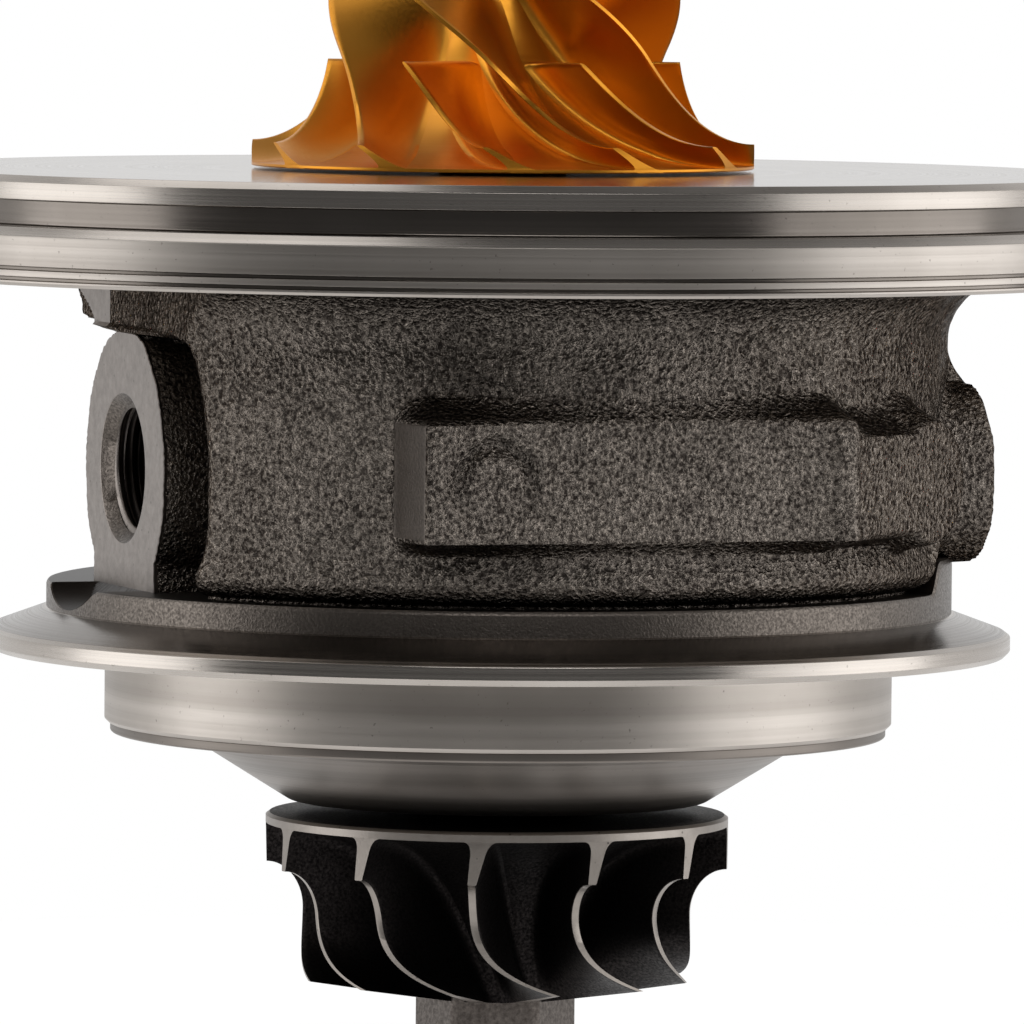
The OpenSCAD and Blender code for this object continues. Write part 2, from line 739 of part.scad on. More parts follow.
module thrust_bearing() {
    slot_w = 1.2;
    slot_depth = 0.5;
    land_count = 4;
    color("peru")
        in_port_frame() difference() {
            ring(thrust_r, collar_neck_r + seal_gap, thrust_h, thrust_seat);
            for (i = [0:land_count - 1], z = [thrust_seat, thrust_top])
                rotate([0, 0, 45 + 360 * i / land_count])
                    translate([0, -slot_w / 2, z - slot_depth]) cube([collar_r, slot_w, 2 * slot_depth]);
            dowel_places() translate([0, 0, thrust_seat - cut]) cylinder(d = dowel_d + 2 * slip, h = thrust_h + 2 * cut);
            translate([tongue_at - 1, -tongue_w / 2 - 1, thrust_seat - cut]) cube([recess_r, tongue_w + 2, thrust_h + 2 * cut]);
        }
}

module thrust_bearing_pins() {
    color("gainsboro")
        in_port_frame() dowel_places()
            translate([0, 0, thrust_seat - dowel_depth]) cylinder(d = dowel_d, h = dowel_depth + thrust_h - 0.3);
}

module oil_deflector() {
    color("darkgray")
        in_port_frame() {
            ring(thrust_r, collar_r + 0.4, deflector_t, thrust_top);
            translate([tongue_at, -tongue_w / 2, thrust_top - tongue_drop])
                cube([deflector_t, tongue_w, tongue_drop + deflector_t / 2]);
        }
}

// Floating bush with chamfered ends and radial oil holes
module journal_bearing(z) {
    hole_count = 6;
    hole_r = 0.8;
    inner = journal_r + bush_bore_clearance;
    color("goldenrod")
        translate([0, 0, z])
            difference() {
                rotate_extrude() polygon([
                    [inner, 0], [bush_r - chamfer, 0], [bush_r, chamfer],
                    [bush_r, bush_len - chamfer], [bush_r - chamfer, bush_len], [inner, bush_len]
                ]);
                for (i = [0:hole_count - 1])
                    rotate([0, 0, 360 * i / hole_count])
                        translate([journal_r / 2, 0, bush_len / 2]) rotate([0, 90, 0]) cylinder(r = hole_r, h = bush_r);
            }
}

module compressor_journal_bearing() {
    journal_bearing(compressor_bush_z);
}

module turbine_journal_bearing() {
    journal_bearing(turbine_bush_z);
}

// Open spring ring that sits in a groove of the housing bore
module bearing_clip(level) {
    opening = 40;
    color("darkslategray")
        translate([0, 0, clip_levels[level]])
            rotate([0, 0, opening / 2])
                rotate_extrude(angle = 360 - opening)
                    translate([clip_inner_r, 0]) square([clip_groove_r - slip - clip_inner_r, clip_h]);
}

module turbine_bearing_outer_clip() {
    bearing_clip(0);
}

module turbine_bearing_inner_clip() {
    bearing_clip(1);
}

module compressor_bearing_inner_clip() {
    bearing_clip(2);
}

module compressor_bearing_outer_clip() {
    bearing_clip(3);
}

// Split seal ring that grips its bore
module seal_ring(bore_r, hub_r, z) {
    split = 3;
    color("darkgray")
        translate([0, 0, z])
            rotate([0, 0, split / 2])
                rotate_extrude(angle = 360 - split)
                    translate([hub_r - 1, 0]) square([bore_r - slip - hub_r + 1, seal_ring_h]);
}

module compressor_seal_ring() {
    seal_ring(sleeve_bore_r, sleeve_r, compressor_seal_z);
}

module turbine_seal_ring() {
    seal_ring(seal_bore_r, seal_hub_r, turbine_seal_z);
}

// Dished sheet between the pilot and the turbine wheel
module heat_shield() {
    hole_r = seal_hub_r + 1.4;
    lip = -pilot_h;
    color("gray")
        rotate_extrude() polygon([
            [hole_r, shield_bottom], [shield_floor_r - 1, shield_bottom], [shield_floor_r + 0.4, shield_bottom + 0.7],
            [shield_dish_r - 0.8, lip - shield_t - 1], [shield_dish_r + 0.7, lip - shield_t],
            [shield_lip_r - 0.3, lip - shield_t], [shield_lip_r, lip - shield_t + 0.3],
            [shield_lip_r, lip], [shield_dish_r, lip], [shield_dish_r - 1.8, lip - 0.9],
            [shield_floor_r - 0.4, shield_bottom + shield_t + 0.4], [shield_floor_r - 1.2, shield_bottom + shield_t],
            [hole_r, shield_bottom + shield_t]
        ]);
}

bearing_housing();
compressor_backplate();
backplate_screws();
backplate_o_ring();
compressor_wheel();
shaft_nut();
shaft();
turbine_wheel();
thrust_collar();
flinger_sleeve();
thrust_bearing();
thrust_bearing_pins();
oil_deflector();
compressor_journal_bearing();
turbine_journal_bearing();
compressor_bearing_outer_clip();
compressor_bearing_inner_clip();
turbine_bearing_inner_clip();
turbine_bearing_outer_clip();
compressor_seal_ring();
turbine_seal_ring();
heat_shield();
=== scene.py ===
"""Looks of a turbo cartridge: turned steel, sand-cast iron, anodised and cast wheels.

Shapes are worked out in millimetres in the part's own frame: +Z runs up the rotor axis to the
compressor, -Y is the front. Angles are degrees from the front, growing towards +X.
"""
import json
import math

import bpy
import numpy as np
from mathutils import Matrix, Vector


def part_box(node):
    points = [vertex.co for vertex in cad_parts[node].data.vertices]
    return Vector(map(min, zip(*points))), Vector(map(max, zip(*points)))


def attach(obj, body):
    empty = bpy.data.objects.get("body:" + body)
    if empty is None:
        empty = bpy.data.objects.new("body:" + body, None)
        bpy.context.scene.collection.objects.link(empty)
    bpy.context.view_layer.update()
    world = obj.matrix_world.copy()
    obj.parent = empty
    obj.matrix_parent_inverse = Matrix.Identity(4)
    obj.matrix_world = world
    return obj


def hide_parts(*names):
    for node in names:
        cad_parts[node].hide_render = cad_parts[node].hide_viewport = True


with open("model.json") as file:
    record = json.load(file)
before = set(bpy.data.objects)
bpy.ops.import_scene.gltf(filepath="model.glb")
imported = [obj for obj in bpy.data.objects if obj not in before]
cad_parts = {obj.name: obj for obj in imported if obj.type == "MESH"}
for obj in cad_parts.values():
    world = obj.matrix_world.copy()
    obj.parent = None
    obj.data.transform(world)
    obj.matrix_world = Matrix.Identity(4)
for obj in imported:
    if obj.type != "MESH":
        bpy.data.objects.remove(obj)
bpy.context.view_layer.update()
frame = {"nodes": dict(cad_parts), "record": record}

MM = 0.001
RNG_SEED = 7


def node_box(node):
    """Lowest and highest corner of a CAD node, in millimetres."""
    low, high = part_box(node)
    return np.array(low) / MM, np.array(high) / MM


MOUNTS = {mount["name"]: mount for mount in frame["record"]["mounts"]}
DIMS = {name: mount["dims"] for name, mount in MOUNTS.items()}

# Sizes taken from the frame
_, CLAMP_R, HOUSING_TOP = node_box("bearing_housing")[1]
PLATE_R, _, PLATE_TOP = node_box("compressor_backplate")[1]
SHIELD_LOW, SHIELD_HIGH = node_box("heat_shield")
COMP_LOW, COMP_HIGH = node_box("compressor_wheel")
TURB_LOW, TURB_HIGH = node_box("turbine_wheel")
NUT_LOW, NUT_HIGH = node_box("shaft_nut")
SHAFT_LOW, SHAFT_HIGH = node_box("shaft")
LAND_R = DIMS["compressor_register"]["r_mm"]
PILOT_R = DIMS["turbine_pilot"]["r_mm"]
PILOT_Z = SHIELD_HIGH[2]
INLET_AXIS = np.array(MOUNTS["oil_inlet"]["axis"])
INLET_R = DIMS["oil_inlet"]["r_mm"]
DRAIN_AXIS = np.array(MOUNTS["oil_drain"]["axis"])
DRAIN_R = DIMS["oil_drain"]["r_mm"]
DRAIN_FACE = np.linalg.norm(np.array(MOUNTS["drain_bolts"]["pos_m"])[:2]) / MM
BOLT_R = DIMS["drain_bolts"]["hole_r_mm"]
BOLT_SPACING = DIMS["drain_bolts"]["pcd_mm"]
PORT_Z = MOUNTS["drain_bolts"]["pos_m"][2] / MM

# Sizes of the casting and its turned hub. A face or a flat is a plane's distance from the rotor axis
BARREL_R = 46.15
FLARE_R = 6.5
FOOT_R = 2.5
HUB_R = 46.9
HUB_TOP = 7.1
CLAMP_RIM = 2.3
CLAMP_CONE = 4.4
INLET_FACE = 40.9
CUTTER_R = 14.5
SIDE_FLAT = 35.0
LEFT_FLAT = 38.6
PAD_FACE = 47.6
LEG_TURN, LEG_TOP = 35.0, 10.4


# Meshes

UP = np.array([0, 0, 1.0])
SHARP_ANGLE = math.radians(38)
STRAIGHT_HALF = math.radians(89.5)
ARC_HOLD = 0.03


def round_corners(points, steps=6):
    """Polyline of (r, z, radius) corners, each replaced by a circular arc of that radius that is tangent
    to both sides. A point just beyond each end of an arc keeps the straight run flat-shaded."""
    corners = np.array(points, float)
    line = [corners[0, :2]]
    for before, here, after in zip(corners[:-2], corners[1:-1], corners[2:]):
        radius = here[2]
        to_before = before[:2] - here[:2]
        to_after = after[:2] - here[:2]
        unit_before = to_before / np.linalg.norm(to_before)
        unit_after = to_after / np.linalg.norm(to_after)
        half = 0.5 * math.acos(np.clip(unit_before @ unit_after, -1, 1))
        if radius <= 0 or half > STRAIGHT_HALF:
            line.append(here[:2])
            continue
        reach = radius / math.tan(half)
        inwards = (unit_before + unit_after) / np.linalg.norm(unit_before + unit_after)
        centre = here[:2] + inwards * radius / math.sin(half)
        start = here[:2] + unit_before * reach - centre
        end = here[:2] + unit_after * reach - centre
        turn = math.atan2(start[0] * end[1] - start[1] * end[0], start @ end)
        angles = np.linspace(0, turn, steps + 1)
        arc = np.stack([np.cos(angles) * start[0] - np.sin(angles) * start[1],
                        np.sin(angles) * start[0] + np.cos(angles) * start[1]], -1) + centre
        line.extend([arc[0] + unit_before * ARC_HOLD, *arc, arc[-1] + unit_after * ARC_HOLD])
    line.append(corners[-1, :2])
    return np.array(line)


def polar(radius, angle_deg, height):
    """Points at a radius, an angle from the front and a height, as (..., 3)."""
    angle = np.radians(angle_deg)
    radius, angle, height = np.broadcast_arrays(radius, angle, height)
    return np.stack([radius * np.sin(angle), -radius * np.cos(angle), height], -1)


def grid_quads(rows, columns, close_rows=False, close_columns=False):
    """Corner indices of the quads of a rows x columns grid, as (n, 4)."""
    i = np.arange(rows if close_rows else rows - 1)[:, None]
    j = np.arange(columns if close_columns else columns - 1)[None, :]
    i2 = (i + 1) % rows
    j2 = (j + 1) % columns
    corners = [i * columns + j, i * columns + j2, i2 * columns + j2, i2 * columns + j]
    return np.stack(corners, -1).reshape(-1, 4)


def outward(points, quads):
    """Quads of a closed shell, turned over where its signed volume is negative."""
    a, b, c, d = (points[quads[:, k]] for k in range(4))
    volume = np.einsum("ij,ij->", a, np.cross(b, c)) + np.einsum("ij,ij->", a, np.cross(c, d))
    return quads if volume > 0 else quads[:, ::-1]


def link_object(name, data):
    """Object of that name in the scene, at the origin."""
    made = bpy.data.objects.new(name, data)
    bpy.context.scene.collection.objects.link(made)
    return made


def add_mesh(name, points, quads, materials, marks=None):
    """Object of that name from points in millimetres and quads. Repeated corners make triangles. marks
    gives the number of a material for each face."""
    points = np.asarray(points, float).reshape(-1, 3) * MM
    quads = outward(points, np.asarray(quads))
    keep = quads != np.roll(quads, 1, axis=1)
    sizes = keep.sum(1)
    whole = sizes >= 3
    quads, keep, sizes = quads[whole], keep[whole], sizes[whole]
    loops = quads[keep]
    starts = np.concatenate([[0], np.cumsum(sizes)[:-1]])
    mesh = bpy.data.meshes.new(name)
    mesh.vertices.add(len(points))
    mesh.vertices.foreach_set("co", points.astype(np.float32).ravel())
    mesh.loops.add(len(loops))
    mesh.loops.foreach_set("vertex_index", loops.astype(np.int32))
    mesh.polygons.add(len(sizes))
    mesh.polygons.foreach_set("loop_start", starts.astype(np.int32))
    mesh.polygons.foreach_set("use_smooth", np.ones(len(sizes), bool))
    for material in materials:
        mesh.materials.append(material)
    if marks is not None:
        mesh.polygons.foreach_set("material_index", np.asarray(marks)[whole].astype(np.int32))
    mesh.update()
    mesh.validate()
    mesh.set_sharp_from_angle(angle=SHARP_ANGLE)
    return link_object(name, mesh)


def revolved(profile, steps):
    """Points and quads of a closed profile of (r, z) carried round the Z axis."""
    angles = np.arange(steps) * 360.0 / steps
    points = polar(profile[:, None, 0], angles, profile[:, None, 1]).reshape(-1, 3)
    return points, grid_quads(len(profile), steps, True, True)


def even_mark(marks, quads):
    """Mark of each face: that of its corners where they all have the same one, else 0."""
    corners = np.ravel(marks)[quads]
    return np.where((corners == corners[:, :1]).all(1), corners[:, 0], 0)


def turned(name, profile, materials, steps, marks=0):
    """Solid of revolution, with the number of a material for each row of its profile."""
    points, quads = revolved(profile, steps)
    rows = np.broadcast_to(marks, len(profile))
    return add_mesh(name, points, quads, materials, even_mark(np.repeat(rows, steps), quads))


def joined(shells):
    """Several (points, quads, mark) shells as one, with the marks as one array."""
    starts = np.cumsum([0] + [len(points) for points, _, _ in shells])
    quads = [outward(points, quads) + start for (points, quads, _), start in zip(shells, starts)]
    marks = [np.broadcast_to(mark, len(quads)) for _, quads, mark in shells]
    return np.concatenate([points for points, _, _ in shells]), np.concatenate(quads), np.concatenate(marks)


def finish_piece(piece, body, node=None):
    """Hangs a piece on the empty of the body that it rides on, and hides the CAD node that it stands for.
    """
    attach(piece, body)
    if node:
        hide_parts(node)


def smoothstep(low, high, value):
    """0 below low, 1 above high, and a smooth cubic between."""
    t = np.clip((value - low) / (high - low), 0, 1)
    return t * t * (3 - 2 * t)


def blend(a, b, share):
    """Value at a share of the way from a to b."""
    return a + (b - a) * share


def soft_max(a, b, width):
    """Larger of two fields, blended over a width, like a cast fillet."""
    h = np.clip(0.5 + 0.5 * (a - b) / width, 0, 1)
    return b + (a - b) * h + width * h * (1 - h)


def soft_min(a, b, width):
    """Smaller of two fields, blended over a width, like a worn edge."""
    return -soft_max(-a, -b, width)


def lattice_noise(x, y, period, seed):
    """Smooth value noise on a unit lattice that repeats along x every period cells, in -1..1."""
    rows = 512
    table = np.random.default_rng(seed).uniform(-1, 1, (period, rows))
    x0, y0 = np.floor(x).astype(int), np.floor(y).astype(int)
    fx, fy = smoothstep(0, 1, x - x0), smoothstep(0, 1, y - y0)
    cell = lambda i, j: table[(x0 + i) % period, (y0 + j) % rows]
    return blend(blend(cell(0, 0), cell(1, 0), fx), blend(cell(0, 1), cell(1, 1), fx), fy)


# Materials

def linear(hex_colour):
    """sRGB hex such as "C0A080" to a linear RGBA tuple."""
    channels = [int(hex_colour[i:i + 2], 16) / 255 for i in (0, 2, 4)]
    return (*[c / 12.92 if c <= 0.04045 else ((c + 0.055) / 1.055) ** 2.4 for c in channels], 1.0)


def add(tree, kind, inputs=None, out=0, **settings):
    """Adds a shader node of a kind with its settings, sets or links its inputs, gives one output."""
    made = tree.nodes.new("ShaderNode" + kind)
    for key, value in settings.items():
        setattr(made, key, value)
    for key, value in (inputs or {}).items():
        if isinstance(value, bpy.types.NodeSocket):
            tree.links.new(value, made.inputs[key])
        else:
            made.inputs[key].default_value = value
    return made.outputs[out] if len(made.outputs) else None


# Sockets of a Mix node that blends colours: its factor, its two colours and the colour it gives
FACTOR, FIRST, SECOND, BLEND = 0, 6, 7, 2


def cells(size_mm):
    """Texture scale, in cells per metre, of a pattern whose cells measure size_mm."""
    return 1.0 / (size_mm * MM)


def new_material(name):
    """Empty node material and its Object coordinates, as (material, tree, place)."""
    material = bpy.data.materials.new(name)
    material.use_nodes = True
    tree = material.node_tree
    tree.nodes.clear()
    return material, tree, add(tree, "TexCoord", out="Object")


def finish_material(tree, tone, light, dark, metallic, roughness, relief, depth_mm, strength,
                    spots=None, spread=None, edge="FFFFFF"):
    """Principled shader between a dark and a light colour, by a tone. spots holds the factor and the
    colour of spots laid over them. The relief has a depth in millimetres, and spread holds what its
    hollows and its crests add to the roughness. The edge colour is what it reflects at a glance."""
    colour = add(tree, "Mix", {
        FACTOR: tone, FIRST: linear(dark), SECOND: linear(light)}, BLEND, data_type="RGBA")
    if spots:
        colour = add(tree, "Mix", {
            FACTOR: spots[0], FIRST: colour, SECOND: linear(spots[1])}, BLEND, data_type="RGBA")
    if spread:
        roughness = add(tree, "MapRange", {
            "Value": relief, "From Min": 0.3, "From Max": 0.7,
            "To Min": roughness + spread[0], "To Max": roughness + spread[1]})
    normal = add(tree, "Bump", {"Height": relief, "Strength": strength, "Distance": depth_mm * MM})
    shader = add(tree, "BsdfPrincipled", {
        "Base Color": colour, "Metallic": metallic, "Roughness": roughness, "Normal": normal,
        "Specular Tint": linear(edge)})
    add(tree, "OutputMaterial", {"Surface": shader})


def round_axis(tree, place):
    """Object coordinates folded to (radius, height, 0), in which every pattern runs round the axis."""
    flat = add(tree, "VectorMath", {0: place, 1: (1, 1, 0)}, operation="MULTIPLY")
    radius = add(tree, "VectorMath", {0: flat}, out="Value", operation="LENGTH")
    height = add(tree, "SeparateXYZ", {"Vector": place}, out="Z")
    return add(tree, "CombineXYZ", {"X": radius, "Y": height})


def turned_metal(name, light, dark, roughness, line_mm, line_depth_mm):
    """Steel from the lathe: fine tool lines run round the axis and smear its highlights, with a
    slow drift of tone and a few dark specks. Lines are drawn about twice as coarse as real ones."""
    material, tree, place = new_material(name)
    folded = round_axis(tree, place)
    lines = add(tree, "TexNoise", {
        "Vector": folded, "Scale": cells(line_mm), "Detail": 3.0, "Roughness": 0.7})
    bands = add(tree, "TexNoise", {"Vector": folded, "Scale": cells(line_mm * 9), "Detail": 2.0})
    cloud = add(tree, "TexNoise", {"Vector": place, "Scale": cells(14), "Detail": 4.0})
    specks = add(tree, "TexNoise", {"Vector": place, "Scale": cells(0.45), "Detail": 2.0})
    drift = add(tree, "Math", {0: cloud, 1: 0.6, 2: bands}, operation="MULTIPLY_ADD")
    tone = add(tree, "MapRange", {"Value": drift, "From Min": 0.6, "From Max": 1.0})
    spot = add(tree, "MapRange", {
        "Value": specks, "From Min": 0.22, "From Max": 0.3, "To Min": 0.55, "To Max": 0.0})
    finish_material(tree, tone, light, dark, 1.0, roughness, lines, line_depth_mm, 0.6,
                    spots=(spot, "4A4440"), spread=(-0.05, 0.07))
    return material


def cast_metal(name, light, dark, roughness, grain_mm, grain_depth_mm, edge="FFFFFF"):
    """Metal from a sand mould: packed grains of about grain_mm stand up from the skin, so that it
    looks dark from the front and each grain glints on the side that faces a lamp."""
    material, tree, place = new_material(name)
    grains = add(tree, "TexNoise", {
        "Vector": place, "Scale": cells(grain_mm), "Detail": 2.5, "Roughness": 0.6})
    patches = add(tree, "TexNoise", {"Vector": place, "Scale": cells(9), "Detail": 3.0})
    drift = add(tree, "Math", {0: patches, 1: 0.2, 2: grains}, operation="MULTIPLY_ADD")
    tone = add(tree, "MapRange", {"Value": drift, "From Min": 0.45, "From Max": 0.85})
    finish_material(tree, tone, light, dark, 1.0, roughness, grains, grain_depth_mm, 1.0,
                    spread=(0.12, -0.08), edge=edge)
    return material


def milled_metal(name, light, dark, roughness):
    """Iron cut by a face mill: an even pale grey with open graphite pits and faint scuffs."""
    material, tree, place = new_material(name)
    cloud = add(tree, "TexNoise", {
        "Vector": place, "Scale": cells(1.2), "Detail": 6.0, "Roughness": 0.7})
    holes = add(tree, "TexVoronoi", {"Vector": place, "Scale": cells(1.5)})
    scuffs = add(tree, "TexNoise", {"Vector": place, "Scale": cells(0.25), "Detail": 2.0})
    pit = add(tree, "MapRange", {
        "Value": holes, "From Min": 0.05, "From Max": 0.11, "To Min": 0.7, "To Max": 0.0})
    finish_material(tree, cloud, light, dark, 1.0, roughness, scuffs, 0.03, 0.4, spots=(pit, "3C3835"))
    return material


def anodised_metal(name, light, dark, roughness):
    """Milled and anodised aluminium: a dyed film over fine cutter marks that follow the wheel."""
    material, tree, place = new_material(name)
    cusps = add(tree, "TexNoise", {
        "Vector": round_axis(tree, place), "Scale": cells(0.35), "Detail": 2.0})
    cloud = add(tree, "TexNoise", {"Vector": place, "Scale": cells(5), "Detail": 3.0})
    finish_material(tree, cloud, light, dark, 0.92, roughness, cusps, 0.003, 0.6, spread=(-0.04, 0.06))
    return material


def moulded_rubber(name, light, dark):
    """Moulded nitrile rubber: near black and dull, with a faint bloom."""
    material, tree, place = new_material(name)
    bloom = add(tree, "TexNoise", {"Vector": place, "Scale": cells(2), "Detail": 4.0})
    finish_material(tree, bloom, light, dark, 0.0, 0.6, bloom, 0.02, 0.4)
    return material


TURNED_STEEL = turned_metal("turned_steel", "B9B2AB", "A29B94", 0.25, 0.22, 0.008)
FACED_STEEL = turned_metal("faced_steel", "B9B2AB", "A9A29B", 0.13, 0.22, 0.004)
TURNED_IRON = turned_metal("turned_iron", "BDB6AF", "A49D96", 0.4, 0.2, 0.012)
# Darker turned steel that is painted shade: it goes on the back plate's groove and line floors and on the
# clamp cone
PAINTED_SHADE_STEEL = turned_metal("oiled_steel", "827B75", "6B655F", 0.2, 0.22, 0.006)
PRESSED_STEEL = turned_metal("pressed_steel", "837C76", "6C6660", 0.38, 0.3, 0.008)
GROUND_STEEL = turned_metal("ground_steel", "C4C2BF", "ABA9A6", 0.24, 0.16, 0.006)
PHOSPHATED_STEEL = turned_metal("phosphated_steel", "5A5856", "454341", 0.42, 0.25, 0.008)
SPRING_STEEL = turned_metal("spring_steel", "6A6865", "504E4B", 0.36, 0.25, 0.008)
BEARING_BRONZE = turned_metal("bearing_bronze", "C8944E", "A87436", 0.34, 0.2, 0.01)
SAND_CAST_IRON = cast_metal("sand_cast_iron", "968D84", "332E2B", 0.23, 0.47, 0.45, "6A645F")
BLASTED_IRON = cast_metal("blasted_iron", "7C746D", "544E49", 0.36, 0.28, 0.05)
CAST_SUPERALLOY = cast_metal("cast_superalloy", "332F2E", "151313", 0.5, 0.3, 0.03)
SCALED_SUPERALLOY = cast_metal("scaled_superalloy", "6E6762", "534D49", 0.42, 0.4, 0.03)
MILLED_IRON = milled_metal("milled_iron", "AEA6A0", "645D58", 0.42)
# Near-black iron that is painted shade: it goes deep in the tapped holes and on the hub's top under the
# casting's foot
PAINTED_SHADE_IRON = milled_metal("oiled_iron", "37322F", "24201E", 0.4)
MACHINED_EDGE = milled_metal("machined_edge", "A39C95", "857E78", 0.36)
NITRILE_RUBBER = moulded_rubber("nitrile_rubber", "202020", "131313")
ANODISED_ALUMINIUM = anodised_metal("anodised_aluminium", "E29C36", "D48C28", 0.32)


# Directions of the ports and pads, in degrees from the front
PORT_TURN = math.degrees(math.atan2(DRAIN_AXIS[1], DRAIN_AXIS[0]))
DRAIN_ANGLE = 90 + PORT_TURN
INLET_ANGLE = DRAIN_ANGLE - 180
PAD_ANGLES = (PORT_TURN, PORT_TURN + 180)


def turned_from(angle, direction):
    """Signed angle from a direction, in degrees within -180..180."""
    return (angle - direction + 180) % 360 - 180


def hub_top(angle):
    """Height of the turned hub over the angle: it climbs to a leg under the drain flange."""
    from_drain = np.abs(turned_from(angle, DRAIN_ANGLE))
    return blend(HUB_TOP, LEG_TOP, smoothstep(LEG_TURN + 3, LEG_TURN - 1, from_drain))


def columns_near(direction, reach, near, far):
    """Angles round the axis: near of them within reach of a direction, and far over the rest."""
    close = np.linspace(-reach, reach, near)
    rest = np.linspace(reach, 360 - reach, far)[1:-1]
    return direction + np.concatenate([close, rest])


def sideways(axis):
    """Level direction across a port axis, to the left when looking out along it."""
    return np.array([-axis[1], axis[0], 0.0])


# Turned pieces

def compressor_backplate():
    """Back plate: chamfered upper land, empty seal groove, bevelled shoulder and a rim with two turned
    lines low on it, each with a step in, a floor and a step out. The groove floor and the floors of
    the lines are painted shade, in a darker steel."""
    bore = 7.0
    chamfer, bevel = 0.7, 0.95
    land_bottom = PLATE_TOP - 2.45
    groove_bottom = land_bottom - 2.65
    groove_floor = LAND_R - 2.5
    lines = []
    for top, above, depth, below in ((1.9, 0.0, 0.4, 0.12), (0.85, 0.12, 0.5, 0.24)):
        steps = ((above, 0.1, 0.05), (depth, 0.0, 0.03), (depth, -0.25, 0.03), (below, -0.35, 0.05))
        lines += [(PLATE_R - inset, HOUSING_TOP + top + lift, edge) for inset, lift, edge in steps]
    profile = round_corners([
        (bore, PLATE_TOP, 0), (LAND_R - chamfer, PLATE_TOP, 0.12), (LAND_R, PLATE_TOP - chamfer, 0.15),
        (LAND_R, land_bottom, 0.12), (groove_floor, land_bottom, 0.25),
        (groove_floor, groove_bottom, 0.25), (PLATE_R - bevel, groove_bottom, 0.12),
        (PLATE_R, groove_bottom - 0.9, 0.2), *lines, (PLATE_R - 0.24, HOUSING_TOP + 0.3, 0.1),
        (PLATE_R - 0.5, HOUSING_TOP, 0.1), (bore, HOUSING_TOP, 0)])
    radius, height = profile.T
    in_groove = (height < land_bottom + 0.1) & (height > groove_bottom - 0.1)
    marks = np.zeros(len(profile), int)
    marks[height > PLATE_TOP - 1e-6] = 1
    # The groove floor is painted shade: it takes the darker steel
    marks[in_groove & (radius < groove_floor + 0.3)] = 2
    marks[(radius > LAND_R) & (height < groove_bottom - 0.7)] = 3
    # The floors of the turned lines on the rim are painted shade too
    marks[(marks == 3) & (radius < PLATE_R - 0.33) & (height > HOUSING_TOP + 0.5)] = 2
    metals = [TURNED_STEEL, FACED_STEEL, PAINTED_SHADE_STEEL, TURNED_IRON]
    piece = turned("compressor_backplate_turned", profile, metals, 480, marks)
    finish_piece(piece, "housing", "compressor_backplate")


def heat_shield():
    """Dished sheet of even thickness: flat lip, rolled shoulder, cone and turned-in floor."""
    sheet = 1.0
    bore, floor_r, cone_r, shoulder_r = 8.7, 21.7, 31.2, 33.2
    lip_r, lip, floor = SHIELD_HIGH[0], SHIELD_HIGH[2], SHIELD_LOW[2]
    profile = round_corners([
        (bore, floor, 0), (floor_r, floor, 1.2), (cone_r, lip - 2 * sheet, 1.6),
        (shoulder_r, lip - sheet, 1.2), (lip_r, lip - sheet, 0.25), (lip_r, lip, 0.1),
        (shoulder_r - 1.2, lip, 1.0), (cone_r - 1.2, lip - sheet, 1.0),
        (floor_r - 0.4, floor + sheet, 0.8), (bore, floor + sheet, 0)])
    piece = turned("heat_shield_pressed", profile, [PRESSED_STEEL], 420)
    finish_piece(piece, "housing", "heat_shield")


def nearest(profile, spot):
    """Number of the profile's point that is nearest to a spot."""
    return int(np.argmin(np.linalg.norm(profile - spot, axis=1)))


def clamp_flange():
    """Turned clamp flange and pilot below it: land, cone and edge chamfers, with the drilled
    locating hole pressed into the cone where a vertical drill of its radius meets it. The cone is
    painted shade, in a darker steel."""
    hole_angle, hole_r, hole_depth = DRAIN_ANGLE - 5.7, 0.8, 1.2
    inner, chamfer = 30.0, 0.6
    profile = round_corners([
        (inner, PILOT_Z, 0), (PILOT_R - 0.4, PILOT_Z, 0.1), (PILOT_R, PILOT_Z + 0.4, 0.12),
        (PILOT_R, -0.35, 0.1), (PILOT_R - 0.25, 0.0, 0.1), (CLAMP_R - chamfer, 0.0, 0.15),
        (CLAMP_R, chamfer, 0.2), (CLAMP_R, CLAMP_RIM - 0.35, 0.2),
        (CLAMP_R - chamfer, CLAMP_RIM + 0.1, 0.2),
        (HUB_R, CLAMP_CONE, 0), (HUB_R - 0.3, CLAMP_CONE, 0), (inner, CLAMP_CONE, 0)])
    start = nearest(profile, (CLAMP_R - 0.8, CLAMP_RIM + 0.15))
    after = nearest(profile, (HUB_R, CLAMP_CONE))
    cone = np.linspace(profile[start], [HUB_R + 0.05, CLAMP_CONE - 0.02], 36)
    profile = np.concatenate([profile[:start], cone, profile[after:]])
    angles = columns_near(hole_angle, 2.2, 45, 400)
    points = polar(profile[:, None, 0], angles, profile[:, None, 1])
    drill = polar((CLAMP_R + HUB_R) / 2, hole_angle, 0)
    on_cone = (profile[:, 1] > CLAMP_RIM - 0.2) & (profile[:, 0] > HUB_R + 0.3)
    inside = np.hypot(points[..., 0] - drill[0], points[..., 1] - drill[1]) < hole_r
    points[..., 2] -= hole_depth * (inside & on_cone[:, None])
    quads = grid_quads(len(profile), len(angles), True, True)
    # The cone (mark 2) is painted shade: it takes the darker steel
    marks = np.select([on_cone, profile[:, 1] > -0.1], [2, 1], 0)[quads // len(angles)].min(1)
    piece = add_mesh("clamp_flange_turned", points, quads, [TURNED_IRON, TURNED_STEEL, PAINTED_SHADE_STEEL], marks)
    finish_piece(piece, "housing")


